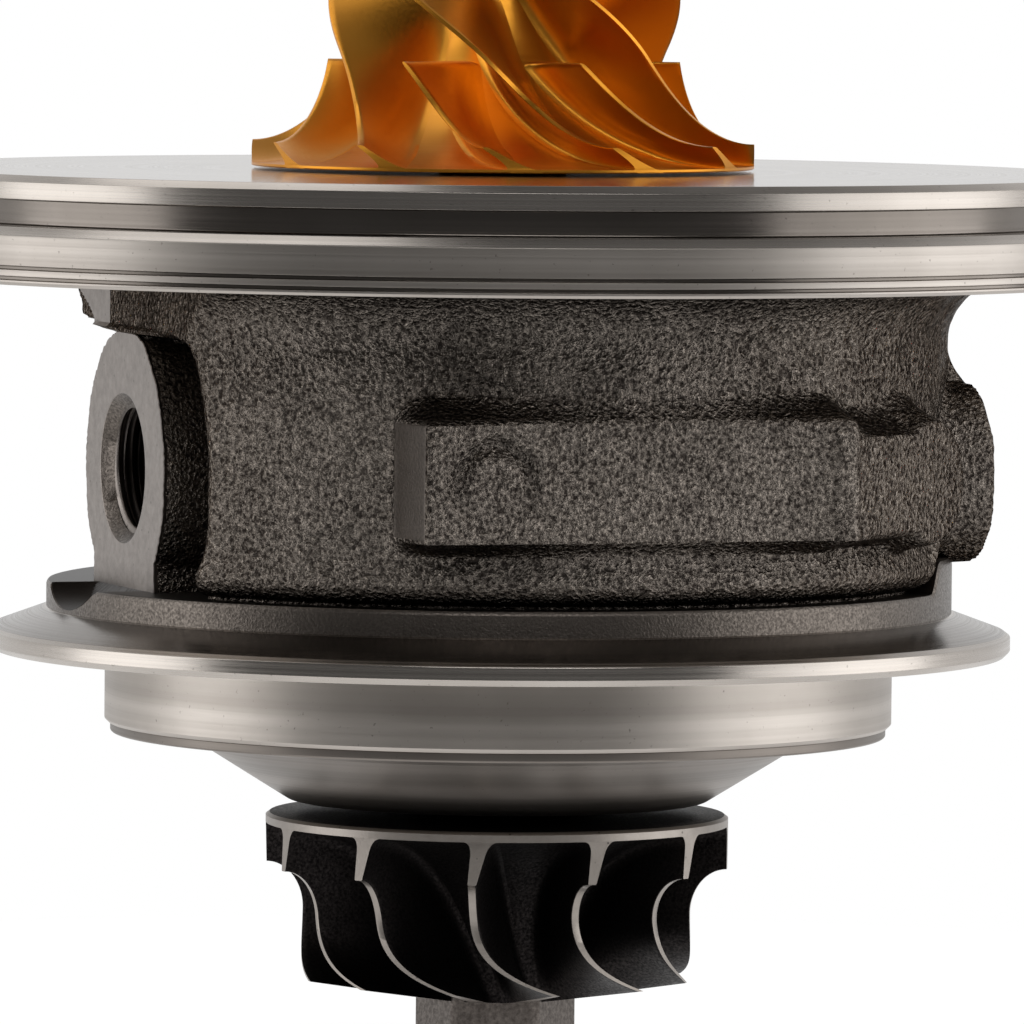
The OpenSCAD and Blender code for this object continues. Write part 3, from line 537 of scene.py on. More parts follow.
def turned_hub():
    """Turned hub above the clamp flange, higher under the drain flange, with the scallop that the
    inlet's face mill leaves: points inside the cutter move to its flat end or out to its round
    side, whichever is nearer. Its top, under the casting's foot, is near-black painted shade."""
    inner, edge = 34.0, 0.45
    foot = CLAMP_CONE - 0.4
    wall = np.linspace(foot, HUB_TOP - edge, 36)
    top = np.linspace(HUB_R - edge, 38.0, 44)
    profile = np.concatenate([
        [[inner, foot]], np.stack([np.full(36, HUB_R), wall], -1),
        [[HUB_R - 0.06, HUB_TOP - 0.25], [HUB_R - 0.2, HUB_TOP - 0.06]],
        np.stack([top, np.full(44, HUB_TOP)], -1), [[inner, HUB_TOP]]])
    angles = columns_near(INLET_ANGLE, 24, 260, 320)
    radius, level = profile[:, None, 0], profile[:, None, 1]
    share = np.clip((level - CLAMP_CONE) / (HUB_TOP - CLAMP_CONE), 0, 1)
    level = level + (hub_top(angles) - HUB_TOP) * share
    from_drain = np.abs(turned_from(angles, DRAIN_ANGLE))
    drain_cut = DRAIN_FACE / np.cos(np.radians(np.minimum(from_drain, 60)))
    radius = np.where(level > HUB_TOP, np.minimum(radius, drain_cut), radius)
    points = polar(radius, angles, level)
    to_plane = points @ INLET_AXIS - INLET_FACE
    across, up = points @ sideways(INLET_AXIS), points[..., 2] - PORT_Z
    from_axis = np.maximum(np.hypot(across, up), 1e-6)
    to_side = CUTTER_R - from_axis
    cut = (to_plane > 0) & (to_side > 0)
    push = (across[..., None] * sideways(INLET_AXIS) + up[..., None] * UP) / from_axis[..., None]
    points -= np.where(cut & (to_plane <= to_side), to_plane, 0)[..., None] * INLET_AXIS
    points += np.where(cut & (to_plane > to_side), to_side, 0)[..., None] * push
    quads = grid_quads(len(profile), len(angles), True, True)
    # The top rows take the near-black iron: painted shade under the casting's foot
    upper = np.repeat(profile[:, 1] > HUB_TOP - 0.1, len(angles))
    piece = add_mesh("turned_hub", points, quads, [BLASTED_IRON, PAINTED_SHADE_IRON], even_mark(upper, quads))
    finish_piece(piece, "housing")


# Casting

FAR = 1e3
CAST_INNER = 22.0
CAST_FOOT = HUB_TOP - 0.4
LEDGE_Z = PORT_Z + 14.2
FACE_HALF_W, FACE_HALF_H = 13.45, 14.4
FACE_SHIFT, FACE_TIP = 0.55, 14.1
LEG_HALF = 10.3
VALLEY_FRONT, VALLEY_BULGE, VALLEY_HALF_H = 24.5, 7.5, 15.5
VALLEY_BACK = (-58, -48)
LUG_FRONT, LUG_REAR, LUG_REAR_RISE = -4.6, 10.0, 11.8
PAD_HALF, PAD_LIFT = 6.2, 0.75
PAD_REACH = {-1: 24.2, 1: 21.4}
PAD_END_TURN = 85.0
MARK_ALONG, MARK_LIFT, MARK_R = -17.2, 0.6, 3.9
MARK_DEPTH, MARK_WIDTH = 0.95, 0.75
BOSS_ANGLE, BOSS_FACE, BOSS_R = 57.0, 50.8, 6.45
BOSS_SHIFT = 2.7
BRIDGE_HALF, BRIDGE_REACH = 5.3, 17.0
LOBE_R, LOBE_LIFT, LOBE_END = 9.4, -0.2, 7.9
MILLED_R, MILLED_END = 8.9, 7.2
INLET_PIT, DRAIN_PIT = 26.5, 27.0

# How rough the skin stays where it is cast, milled or rubbed smooth
ROUGH_SHARE = np.array([1, 0, 0.3])

# Size and depth of the waves of the cast skin, in millimetres, and the seed of each
SKIN_WAVES = ((11.0, 0.22, 3), (3.4, 0.1, 5), (1.3, 0.07, 8), (0.7, 0.06, 13))


def plane_radius(distance, away):
    """Radius at which a ray, away degrees from a plane's normal, meets the plane at that distance."""
    facing = np.cos(np.radians(away))
    return np.where(facing > 0.2, distance / np.maximum(facing, 0.2), FAR)


def across_plane(distance, away):
    """Distance from the foot of the plane's normal to the point where such a ray meets the plane."""
    return distance * np.tan(np.radians(np.clip(away, -60, 60)))


def barrel_radius(height, floor):
    """Radius of the plain barrel: a flare under the back plate, a low swell above a rounded foot that
    stands on a floor, the top of the hub."""
    above = np.clip(height - (HOUSING_TOP - FLARE_R), 0, FLARE_R)
    below = np.clip(floor + 0.3 + FOOT_R - height, 0, FOOT_R)
    swell = 0.75 * np.exp(-((height - floor - 2.3) / 2.1) ** 2)
    return (BARREL_R + FLARE_R - np.sqrt(FLARE_R**2 - above**2) + swell
            - FOOT_R + np.sqrt(np.clip(FOOT_R**2 - below**2, 0, None)))


def raised(radius, outline, share, fillet):
    """Skin lifted towards an outline by a share of its rise, with a fillet where the outline meets it."""
    return radius + soft_max(0.0, outline - radius, fillet) * share


def edge_share(beyond, round_off, fillet):
    """Share of a feature's rise at a distance beyond its edge: 1 inside, rounded off just before the
    edge, then a hollow curve that runs out into the barrel."""
    round_part = 1 - 0.15 * (1 - np.sqrt(1 - np.clip(beyond / round_off + 1, 0, 1) ** 2))
    hollow = 0.85 * np.clip(1 - beyond / fillet, 0, 1) ** 1.6
    return np.where(beyond < 0, round_part, hollow)


def face_reach(turn):
    """Distance from the middle of the inlet's face to its outline, over the turn about its axis: an
    oval that is cut flat at its tip and widened to a leg below."""
    across, up = np.cos(turn), np.sin(turn)
    oval = 1 / np.hypot(across / FACE_HALF_W, up / FACE_HALF_H)
    tip = FACE_TIP / np.maximum(up, 0.05)
    leg = np.minimum(LEG_HALF / np.maximum(np.abs(across), 0.05), FACE_HALF_H / np.maximum(-up, 0.05))
    return np.where(up > 0, np.minimum(oval, tip), np.maximum(oval, leg))


def inlet_side(radius, angle, height):
    """Barrel with the valley beside the inlet, the ledge and lug above it and the inlet boss: the skin
    goes back to a cast flat, then out to just below the milled face. Gives radius, boss and lug masks."""
    up = height - PORT_Z
    away = turned_from(angle, INLET_ANGLE)
    across = across_plane(INLET_FACE, away)
    bulge = np.sqrt(np.clip(1 - (up / VALLEY_HALF_H) ** 2, 0, 1))
    front_edge = VALLEY_FRONT + VALLEY_BULGE * bulge
    from_back = smoothstep(*VALLEY_BACK, away)
    in_valley = smoothstep(front_edge + 0.5, front_edge - 6.5, away) * from_back
    below_ledge = smoothstep(LEDGE_Z + 0.5, LEDGE_Z - 1.2, height)
    radius = blend(radius, np.minimum(radius, plane_radius(SIDE_FLAT, away)), in_valley * below_ledge)
    left_flat = plane_radius(LEFT_FLAT, turned_from(angle, -90))
    radius = blend(radius, np.minimum(radius, left_flat), below_ledge)

    climb = np.clip((height - LEDGE_Z) / (HOUSING_TOP - LEDGE_Z), 0, 1)
    lug_rear = LUG_REAR + LUG_REAR_RISE * climb**1.6
    behind_lug = smoothstep(lug_rear, lug_rear + 1.5, -across) * from_back
    ledge = np.minimum(radius, plane_radius(INLET_FACE, away))
    ledge = blend(ledge, np.minimum(ledge, plane_radius(SIDE_FLAT + 1.5, away)), behind_lug)
    radius = blend(radius, ledge, (1 - below_ledge) * (np.abs(away) < 58))
    lug = (height > LEDGE_Z + 0.1) & (across < LUG_FRONT) & (across > -lug_rear - 1.7)

    from_middle = np.hypot(across - FACE_SHIFT, up)
    reach = face_reach(np.arctan2(up, across - FACE_SHIFT))
    boss = smoothstep(reach + 1.2, reach - 0.4, from_middle) * (np.abs(away) < 50)
    radius = blend(radius, np.maximum(radius, plane_radius(INLET_FACE - 0.3, away)), boss)
    return radius, boss, lug & (np.abs(away) < 40)


def pad_outline(angle, direction):
    """Radius of a pad's face and its two steep ends, over the angle."""
    away = turned_from(angle, direction)
    lean = math.radians(PAD_END_TURN)
    ends = [plane_radius(reach * math.sin(lean) + PAD_FACE * math.cos(lean), side * away - PAD_END_TURN)
            for side, reach in PAD_REACH.items()]
    return soft_min(plane_radius(PAD_FACE, away), soft_min(*ends, 0.6), 0.6)


def cast_mark(angle, up):
    """Depth of the round mark that a mould insert left near the pad's left end, deeper at its top."""
    along = across_plane(PAD_FACE, turned_from(angle, PAD_ANGLES[0])) - MARK_ALONG
    above = up - MARK_LIFT
    ring = np.hypot(along, above)
    lean = above / np.maximum(ring, 0.1)
    return MARK_DEPTH * np.exp(-((ring - MARK_R) / MARK_WIDTH) ** 2) * (0.6 + 0.4 * lean)


def drain_distance(away, up):
    """Distance on the drain face from the line between its bolt holes, stretched beyond them so that
    it is even all round the stadium with its slightly flattened ends."""
    across = across_plane(DRAIN_FACE, away)
    beyond = np.maximum(np.abs(across) - BOLT_SPACING / 2, 0) * MILLED_R / MILLED_END
    return np.where(np.abs(away) < 60, np.hypot(beyond, up), FAR)


def casting_radius(angle, height):
    """Radius of the cast skin for each angle and height, how rough it is, and its finish: cast (0),
    milled (1) or rubbed smooth by the mould (2). Each feature lifts the barrel to the radius where a
    ray meets its planes."""
    up = height - PORT_Z
    radius, boss, lug = inlet_side(barrel_radius(height, hub_top(angle)), angle, height)

    # Two pads with steep ends, the front one with the round mark
    facet = np.zeros(radius.shape, bool)
    on_pad = edge_share(np.abs(up - PAD_LIFT) - PAD_HALF, 0.6, np.where(up > 0, 2.6, 1.6))
    for direction in PAD_ANGLES:
        away = turned_from(angle, direction)
        share = on_pad * (np.abs(away) < 90)
        outline = pad_outline(angle, direction)
        end = outline < plane_radius(PAD_FACE, away) - 0.4
        facet |= end & (outline > radius + 0.3) & (share > 0.97)
        radius = raised(radius, outline, share, 1.0)
    radius = radius - cast_mark(angle, up)

    # Round boss, bridged to the front pad
    away = turned_from(angle, BOSS_ANGLE)
    smooth = facet & (away < -40)
    across = across_plane(BOSS_FACE, away) - BOSS_SHIFT
    bridge = np.maximum(np.sqrt(np.clip(BOSS_R**2 - across**2, 0, None)), BRIDGE_HALF)
    beyond = np.where(across > 0, np.hypot(across, up) - BOSS_R, np.abs(up) - bridge)
    share = edge_share(beyond, 0.7, np.where(up > 0, 2.8, 1.2)) * (across > -BRIDGE_REACH)
    pad_plane = plane_radius(PAD_FACE, turned_from(angle, PAD_ANGLES[0]))
    face = soft_min(plane_radius(BOSS_FACE, away), pad_plane, 1.0)
    radius = raised(radius, face, share, 1.2)

    # Drain flange: straight sides and two flattened round ends, sharp below where it was turned
    away = turned_from(angle, DRAIN_ANGLE)
    lobe_up = up - LOBE_LIFT
    reach = BOLT_SPACING / 2 + LOBE_END / LOBE_R * np.sqrt(np.clip(LOBE_R**2 - lobe_up**2, 0, None))
    end = reach / np.maximum(np.sin(np.radians(np.clip(np.abs(away), 1, 179))), 0.01)
    outline = soft_min(plane_radius(DRAIN_FACE - 0.1, away), end, 1.4)
    beyond = np.abs(lobe_up) - LOBE_R + np.where(lobe_up > 0, 0, 0.1)
    share = edge_share(beyond, 0.8, np.where(lobe_up > 0, 3.4, 0.3)) * (np.abs(away) < 90)
    radius = raised(radius, outline, share, 1.6)
    milled = smoothstep(MILLED_R + 0.5, MILLED_R, drain_distance(away, up))
    radius = blend(radius, np.minimum(radius, plane_radius(DRAIN_FACE - 0.35, away)), milled)
    finish = np.select([lug, smooth], [1, 2], 0)
    return radius, (1 - 0.9 * boss) * ROUGH_SHARE[finish], finish


def even_spread(values, cost, count):
    """count values, spread so that the summed cost between neighbours is the same everywhere."""
    total = np.concatenate([[0], np.cumsum(0.5 * (cost[1:] + cost[:-1]) * np.diff(values))])
    return np.interp(np.linspace(0, total[-1], count), total, values)


def cast_skin(angle, height):
    """Uneven height of the sand-cast skin: slow waves, lumps and grains, in millimetres."""
    skin = 0.0
    for size, depth, seed in SKIN_WAVES:
        period = round(2 * math.pi * BARREL_R / size)
        along = (angle % 360) / 360 * period
        skin = skin + depth * lattice_noise(along, height / size + 40, period, seed)
    return skin


def port_pits(radius, angle, height):
    """Draws the skin back behind the tapped inlet and behind the drain face with its three holes,
    which are pieces of their own."""
    up = height - PORT_Z
    away = turned_from(angle, INLET_ANGLE)
    across = across_plane(0.8 * INLET_FACE, away)
    behind = smoothstep(9.6, 8.9, np.hypot(across, up)) * (np.abs(away) < 90)
    radius = blend(radius, INLET_PIT, behind)
    away = turned_from(angle, DRAIN_ANGLE)
    behind = smoothstep(MILLED_R - 0.2, MILLED_R - 0.8, drain_distance(away, up))
    return blend(radius, np.minimum(radius, plane_radius(DRAIN_PIT, away)), behind)


def housing_casting():
    """Cast body as a radius over angle and height. Columns and rows are spread evenly along the
    outline, so that steep sides get as many as flat ones; the skin is rough but for milled flats."""
    columns, rows = 940, 96
    trial_angle = np.linspace(-180, 180, 1441)
    trial_height = np.linspace(CAST_FOOT, HOUSING_TOP, 121)
    trial, _, _ = casting_radius(trial_angle[None, :], trial_height[:, None])
    slope_round = np.abs(np.gradient(trial, np.radians(trial_angle), axis=1)).mean(0)
    slope_up = np.abs(np.gradient(trial, trial_height, axis=0)).mean(1)
    seen = 0.75 + 0.25 * np.cos(np.radians(trial_angle - 15))
    angle = even_spread(trial_angle, np.hypot(BARREL_R, 0.9 * slope_round) * seen, columns + 1)[:-1]
    height = even_spread(trial_height, np.hypot(1, 0.9 * slope_up), rows)
    angle, height = np.meshgrid(angle, height)
    radius, rough, finish = casting_radius(angle, height)
    rough = rough * smoothstep(HOUSING_TOP, HOUSING_TOP - 1, height)
    radius = radius + cast_skin(angle, height) * rough
    points = polar(port_pits(radius, angle, height), angle, height)
    inner_low = polar(CAST_INNER, angle[:1], CAST_FOOT)
    inner_high = polar(CAST_INNER, angle[:1], HOUSING_TOP)
    points = np.concatenate([inner_low, points, inner_high])
    quads = grid_quads(rows + 2, columns, True, True)
    marks = even_mark(np.pad(finish, ((1, 1), (0, 0))), quads)
    piece = add_mesh("housing_casting", points, quads, [SAND_CAST_IRON, MILLED_IRON, BLASTED_IRON], marks)
    finish_piece(piece, "housing", "bearing_housing")


# Ports

def thread_radius(start_r, depth, pitch, turn, relief):
    """Radius of a thread cut to a relief from its start: rounded 60 degree vees that climb one pitch a
    turn. A negative relief cuts into a stem."""
    phase = depth / pitch - turn / (2 * math.pi)
    vee = 2 * np.abs(phase - np.floor(phase) - 0.5)
    return start_r + relief * smoothstep(0.05, 0.95, vee)


def port_shell(axis, face, rings, turns, shift):
    """Closed shell from (radius, level) rings about a port axis: each lies at its level above the face,
    moved to the left by its shift. Gives points, quads and the level of each point."""
    radii = np.array([np.broadcast_to(radius, len(turns)) for radius, _ in rings])
    levels = np.array([level for _, level in rings])[:, None] + 0 * radii
    along, across, up = face + levels, radii * np.cos(turns) + shift, radii * np.sin(turns) + PORT_Z
    points = along[..., None] * axis + across[..., None] * sideways(axis) + up[..., None] * UP
    return points.reshape(-1, 3), grid_quads(len(rings), len(turns), True, True), levels.ravel()


POINT_R = 0.02
# Depth in a hole beyond which its walls take the near-black painted shade
PAINTED_SHADE_DEPTH = 2.3


def inlet_port():
    """Milled face of the oil inlet with its tapped hole. Rings run from the jagged outline, a circle
    with a leg down to the hub, over the face to a chamfer and down the thread to a drilled end.
    Deeper in, the hole's walls are near-black painted shade."""
    turns = np.linspace(0, 2 * math.pi, 240, endpoint=False)
    depth, pitch, thread = 12.5, 1.5, 0.72
    mouth, wall_r = INLET_R + 1.55, INLET_R + 1.6
    rng = np.random.default_rng(RNG_SEED)
    ragged = 0.12 * rng.uniform(-1, 1, len(turns)) + 0.15 * np.sin(turns * 9 + 1) * np.sin(turns * 4)
    outline = face_reach(turns) + ragged
    rings = [(outline - 0.5, -0.6), (outline, -0.08), (outline - 0.08, 0.0), (outline - 0.3, 0.0)]
    rings += [(blend(outline, mouth, share), 0.0) for share in (0.25, 0.5, 0.75, 0.97)]
    rings += [(mouth, 0.0), (mouth - 0.06, -0.04), (INLET_R + 0.45, -1.15)]
    for deep in np.linspace(1.2, depth, 110):
        rings.append((thread_radius(INLET_R, deep, pitch, turns, thread), -deep))
    rings += [(INLET_R, -depth - 0.05), (POINT_R, -depth - 1.6), (POINT_R, -depth - 2.2)]
    rings += [(wall_r, -depth - 2.2), (wall_r, -1.2)]
    middle_r = np.array([np.mean(radius) for radius, _ in rings])
    shift = FACE_SHIFT * np.clip((middle_r - mouth) / 4, 0, 1)[:, None]
    points, quads, levels = port_shell(INLET_AXIS, INLET_FACE + 0.02, rings, turns, shift)
    chamfer = (levels < -0.02) & (levels > -1.3) & np.repeat(middle_r < mouth, len(turns))
    # Walls deeper than PAINTED_SHADE_DEPTH take the near-black painted shade
    marks = even_mark(np.select([levels < -PAINTED_SHADE_DEPTH, chamfer], [1, 2], 0), quads)
    piece = add_mesh("inlet_port", points, quads, [MILLED_IRON, PAINTED_SHADE_IRON, BLASTED_IRON], marks)
    finish_piece(piece, "housing")


def drain_face():
    """Milled drain face of stadium outline with the drain bore and two tapped bolt holes. The face
    is three cells side by side, each with rings from its own outline to its hole and down it.
    Deeper in, the holes' walls are near-black painted shade."""
    half = BOLT_SPACING / 2
    split = half / 2 + 1.2
    turns = np.linspace(0, 2 * math.pi, 160, endpoint=False)
    cosine, sine = np.cos(turns), np.sin(turns)
    sides = MILLED_R / np.maximum(np.abs(sine), 1e-3)
    shells = []
    for side, hole_r, depth, pitch in ((0, DRAIN_R, 15, 0), (1, BOLT_R, 7, 1.25), (-1, BOLT_R, 7, 1.25)):
        inwards = cosine * side < 0
        wide = np.where(inwards, half - split, FAR if side else split)
        outline = np.minimum(wide / np.maximum(np.abs(cosine), 1e-3), sides)
        if side:
            outline = np.where(inwards, outline, 1 / np.hypot(cosine / MILLED_END, sine / MILLED_R))
        bevel = 0.7 * smoothstep(0, 0.4, cosine * side)
        mouth, wall_r = hole_r + 0.5, hole_r + 1.0
        rings = [(outline, -1.2), (outline, -0.7), (outline - bevel, 0.0)]
        rings += [(blend(outline, mouth, share), 0.0) for share in (0.3, 0.65, 0.97)]
        rings += [(mouth, 0.0), (hole_r, -0.5)]
        for deep in np.linspace(0.6, depth, 70 if pitch else 4):
            rings.append((thread_radius(hole_r, deep, pitch, turns, 0.55) if pitch else hole_r, -deep))
        rings += [(POINT_R, -depth - 1.0), (POINT_R, -depth - 1.6), (wall_r, -depth - 1.6), (wall_r, -1.0)]
        points, quads, levels = port_shell(DRAIN_AXIS, DRAIN_FACE + 0.05, rings, turns, side * half)
        # Walls deeper than PAINTED_SHADE_DEPTH take the near-black painted shade
        shells.append((points, quads, even_mark(levels < -PAINTED_SHADE_DEPTH, quads)))
    points, quads, marks = joined(shells)
    piece = add_mesh("drain_face", points, quads, [MILLED_IRON, PAINTED_SHADE_IRON], marks)
    finish_piece(piece, "housing")


# Wheels

def blade_shell(root, tip, half_thick, chord, spans, fillet, edge_round, tip_bevel):
    """One blade as a closed shell. root(u) and tip(u) give (radius, height, angle) from inlet to
    exit; points lie between them, half the thickness to each side along the turning direction.
    The half thickness grows in a fillet at the root and shrinks at a round inlet edge."""
    low, high = np.stack(root(chord), -1), np.stack(tip(chord), -1)
    span = np.linalg.norm((high - low)[:, :2], axis=1)[:, None]
    fillet = np.minimum(fillet, 0.6 * span)
    from_root = fillet * np.array([0, 0.06, 0.15, 0.28, 0.45, 0.68, 1.0])
    rest = fillet + (span - tip_bevel - fillet) * np.linspace(0, 1, spans)[None, 1:]
    reach = np.concatenate([np.full((len(chord), 1), -0.3), from_root, rest, span], 1)
    share = reach / span
    line = low[:, None, :] + (high - low)[:, None, :] * share[..., None]
    near_root = np.clip(1 - np.maximum(reach, 0) / fillet, 0, 1)
    half = half_thick(np.clip(share, 0, 1)) + 0.6 * fillet * (1 - np.sqrt(1 - near_root**2))
    if edge_round:
        half = half * np.sqrt(1 - (1 - np.clip((chord - chord[0]) / edge_round, 0.02, 1)) ** 2)[:, None]
    half[:, -1] -= np.minimum(tip_bevel, 0.3 * half[:, -1])
    turn = np.degrees(half / line[..., 0])
    left = polar(line[..., 0], line[..., 2] - turn, line[..., 1])
    right = polar(line[..., 0], line[..., 2] + turn, line[..., 1])
    ring = np.concatenate([left, right[::-1]]).transpose(1, 0, 2)
    rows, columns = ring.shape[:2]
    steps = np.arange(len(chord) - 1)
    cap = np.stack([steps, steps + 1, columns - 2 - steps, columns - 1 - steps], -1)
    top = cap + (rows - 1) * columns
    walls = grid_quads(rows, columns, False, True)
    touches = lambda column: (walls % columns == column).any(1)
    exit_edge = touches(len(chord) - 1) & touches(len(chord))
    inlet_edge = touches(0) & touches(columns - 1)
    edges = np.concatenate([exit_edge | inlet_edge, np.ones(len(top), bool), np.zeros(len(cap), bool)])
    return ring.reshape(-1, 3), np.concatenate([walls, top, cap[:, ::-1]]), edges


def turned_about_axis(points, degrees):
    """Points turned about the Z axis."""
    angle = math.radians(degrees)
    cosine, sine = math.cos(angle), math.sin(angle)
    return points @ np.array([[cosine, sine, 0], [-sine, cosine, 0], [0, 0, 1]])


def quarter_length(a, b):
    """Length of a quarter ellipse, from the root mean square of its half axes."""
    return math.pi / 2 * math.sqrt((a**2 + b**2) / 2)


STEM_R = 3.0
COMP_BASE = COMP_LOW[2]
COMP_R = 26.0
COMP_INLET_R = 18.2
COMP_H = 21.0
COMP_SHROUD_H = 12.0
COMP_RIM_H = 0.35
COMP_TIP_H = 2.6
COMP_HUB_R = 5.7
COMP_BORE = 3.2
COMP_BLADES = 6
SPLITTER_H = 11.1
COMP_STRAIGHT = COMP_H - COMP_SHROUD_H
COMP_CURVE = quarter_length(COMP_R - COMP_INLET_R, COMP_SHROUD_H - COMP_TIP_H)


def comp_tip_angle(u):
    """Turn of the compressor blade from its inlet edge to its exit, faster at first."""
    return -48 + 74 * (0.62 * (1 - (1 - u) ** 2) + 0.38 * u)


def comp_hub(u):
    """Compressor hub line: a quarter ellipse from the nose to the rim."""
    a = np.pi / 2 * u**1.38
    return (COMP_R - (COMP_R - COMP_HUB_R) * np.cos(a),
            COMP_BASE + COMP_H - (COMP_H - COMP_RIM_H) * np.sin(a), comp_tip_angle(u) + 8.3 * u**2)


def comp_tip(u):
    """Compressor tip line: straight down the inlet, then a quarter ellipse to the exit."""
    s = u * (COMP_STRAIGHT + COMP_CURVE)
    a = np.pi / 2 * np.maximum(0, s - COMP_STRAIGHT) / COMP_CURVE
    drop = np.minimum(s, COMP_STRAIGHT) + (COMP_SHROUD_H - COMP_TIP_H) * np.sin(a)
    return COMP_R - (COMP_R - COMP_INLET_R) * np.cos(a), COMP_BASE + COMP_H - drop, comp_tip_angle(u)


def compressor_wheel():
    """Milled wheel: hub of revolution with six full blades and six splitters midway between them."""
    hub_line = np.stack(comp_hub(np.linspace(1, 0, 40))[:2], -1)
    nose = COMP_HIGH[2]
    profile = np.concatenate([
        [[COMP_BORE, COMP_BASE], [COMP_R - 0.12, COMP_BASE], [COMP_R, COMP_BASE + 0.12]], hub_line,
        round_corners([(COMP_HUB_R, COMP_BASE + COMP_H + 0.2, 0), (COMP_HUB_R - 0.4, nose - 0.3, 0.2),
                       (COMP_HUB_R - 0.8, nose, 0.1), (COMP_BORE, nose, 0)])])
    shells = [(*revolved(profile, 240), 0)]
    half_thick = lambda share: (1.6 - 0.85 * share) / 2
    edge_round = 0.02
    start = (COMP_H - SPLITTER_H) / (COMP_STRAIGHT + COMP_CURVE)
    for first, turn in ((0.0, 0.0), (start, 0.5)):
        inlet = blend(first, 1, np.array([0, 0.0015, 0.004, 0.008, 0.013, edge_round]))
        chord = np.concatenate([inlet, np.linspace(inlet[-1], 1, 52)[1:]])
        points, quads, _ = blade_shell(comp_hub, comp_tip, half_thick, chord, spans=18, fillet=2.4,
                                       edge_round=edge_round, tip_bevel=0.1)
        for i in range(COMP_BLADES):
            shells.append((turned_about_axis(points, 360 * (i + turn) / COMP_BLADES), quads, 0))
    points, quads, _ = joined(shells)
    piece = add_mesh("compressor_wheel_milled", points, quads, [ANODISED_ALUMINIUM])
    finish_piece(piece, "rotor", "compressor_wheel")


TURB_R = TURB_HIGH[0]
TURB_EXIT_R = 20.2
TURB_BACK = -16.95
TURB_RIM = TURB_BACK - 1.05
TURB_INLET_Z = TURB_RIM - 4.4
TURB_SHROUD_H = 4.8
TURB_EXIT = -34.1
TURB_NOSE = TURB_EXIT - 1.9
TURB_HUB_R = 8.0
TURB_BLADES = 12
TURB_HEX_R = 8.5
TURB_STRAIGHT = TURB_INLET_Z - TURB_SHROUD_H - TURB_EXIT
TURB_CURVE = quarter_length(TURB_R - TURB_EXIT_R, TURB_SHROUD_H)


def turb_hub(u):
    """Turbine hub line: a quarter ellipse from the disc's rim to the blade exit."""
    a = np.pi / 2 * u
    return (TURB_R - (TURB_R - TURB_HUB_R) * np.sin(a),
            TURB_NOSE + (TURB_RIM - TURB_NOSE) * np.cos(a), -3.9 + 21.9 * u**4)


def turb_tip(u):
    """Turbine tip line: a quarter ellipse from the inlet edge, then straight to the exit."""
    s = u * (TURB_STRAIGHT + TURB_CURVE)
    a = np.pi / 2 * np.minimum(1, s / TURB_CURVE)
    drop = TURB_SHROUD_H * (1 - np.cos(a)) + np.maximum(0, s - TURB_CURVE)
    angle = -6.9 + (1 - u) ** 4 + 24.9 * u**5
    return TURB_R - (TURB_R - TURB_EXIT_R) * np.sin(a), TURB_INLET_Z - drop, angle


HEX_TURNS = np.arange(240) * 1.5


def hexagon_radius(flat_half, first):
    """Radius of a hexagon over HEX_TURNS, from half its width across flats. first turns its corners."""
    return flat_half / np.cos(np.radians((HEX_TURNS + first) % 60 - 30))


def turbine_wheel():
    """Cast wheel: disc and hub of revolution, twelve blades whose outer edges are ground bright,
    and a hexagonal nose."""
    hub_line = np.stack(turb_hub(np.linspace(0, 1, 40))[:2], -1)
    neck_r, neck_top, inner = 7.3, SHIELD_LOW[2] + 1.4, 1.0
    profile = np.concatenate([
        [[inner, neck_top], [neck_r, neck_top], [neck_r, TURB_BACK + 1.4],
         [neck_r + 1.2, TURB_BACK + 0.45], [TURB_R - 0.4, TURB_BACK], [TURB_R, TURB_BACK - 0.3]],
        hub_line, [[inner, TURB_NOSE]]])
    hub_points, hub_quads = revolved(profile, 240)
    rim = np.isin(hub_quads // 240, (4, 5, 6)).sum(1) >= 3
    shells = [(hub_points, hub_quads, rim)]
    half_thick = lambda share: (1.8 - 0.9 * share) / 2
    points, quads, edges = blade_shell(turb_hub, turb_tip, half_thick, np.linspace(0, 1, 48), spans=18,
                                       fillet=1.3, edge_round=0, tip_bevel=0.08)
    for i in range(TURB_BLADES):
        shells.append((turned_about_axis(points, 360 * i / TURB_BLADES), quads, edges))
    hexagon = np.minimum(hexagon_radius(TURB_HEX_R * math.cos(math.pi / 6), 30), TURB_HEX_R - 0.25)
    low, high, chamfer = TURB_LOW[2], TURB_NOSE + 1.2, 0.5
    bore = np.full(len(HEX_TURNS), inner)
    radii = np.stack([bore, hexagon - chamfer, hexagon, hexagon, bore])
    levels = np.array([low, low, low + chamfer, high, high])[:, None]
    nose = polar(radii, HEX_TURNS, levels).reshape(-1, 3)
    shells.append((nose, grid_quads(len(radii), len(HEX_TURNS), True, True), 2))
    points, quads, marks = joined(shells)
    finishes = [CAST_SUPERALLOY, MACHINED_EDGE, SCALED_SUPERALLOY]
    piece = add_mesh("turbine_wheel_cast", points, quads, finishes, marks)
    finish_piece(piece, "rotor", "turbine_wheel")


def shaft_nut():
    """Hexagon nut with its upper corners turned off at 30 degrees and a chamfered bore."""
    flat = 0 * HEX_TURNS
    flat_half = max(NUT_HIGH[0], NUT_HIGH[1]) * math.cos(math.pi / 6)
    hexagon = hexagon_radius(flat_half, 0 if NUT_HIGH[0] > NUT_HIGH[1] else 30)
    low, high = NUT_LOW[2] + flat, NUT_HIGH[2] + flat
    bore = STEM_R + flat
    crown = np.minimum(hexagon, flat_half)
    slope = (hexagon - crown) * math.tan(math.radians(30))
    levels = np.stack([low, low, high - 0.25 - slope, high, high, high - 0.6])
    radii = np.stack([bore, hexagon, hexagon, crown - 0.15, bore + 0.5, bore])
    points = polar(radii, HEX_TURNS, levels)
    quads = grid_quads(len(radii), len(HEX_TURNS), True, True)
    piece = add_mesh("shaft_nut_hexagon", points, quads, [PHOSPHATED_STEEL])
    finish_piece(piece, "rotor", "shaft_nut")


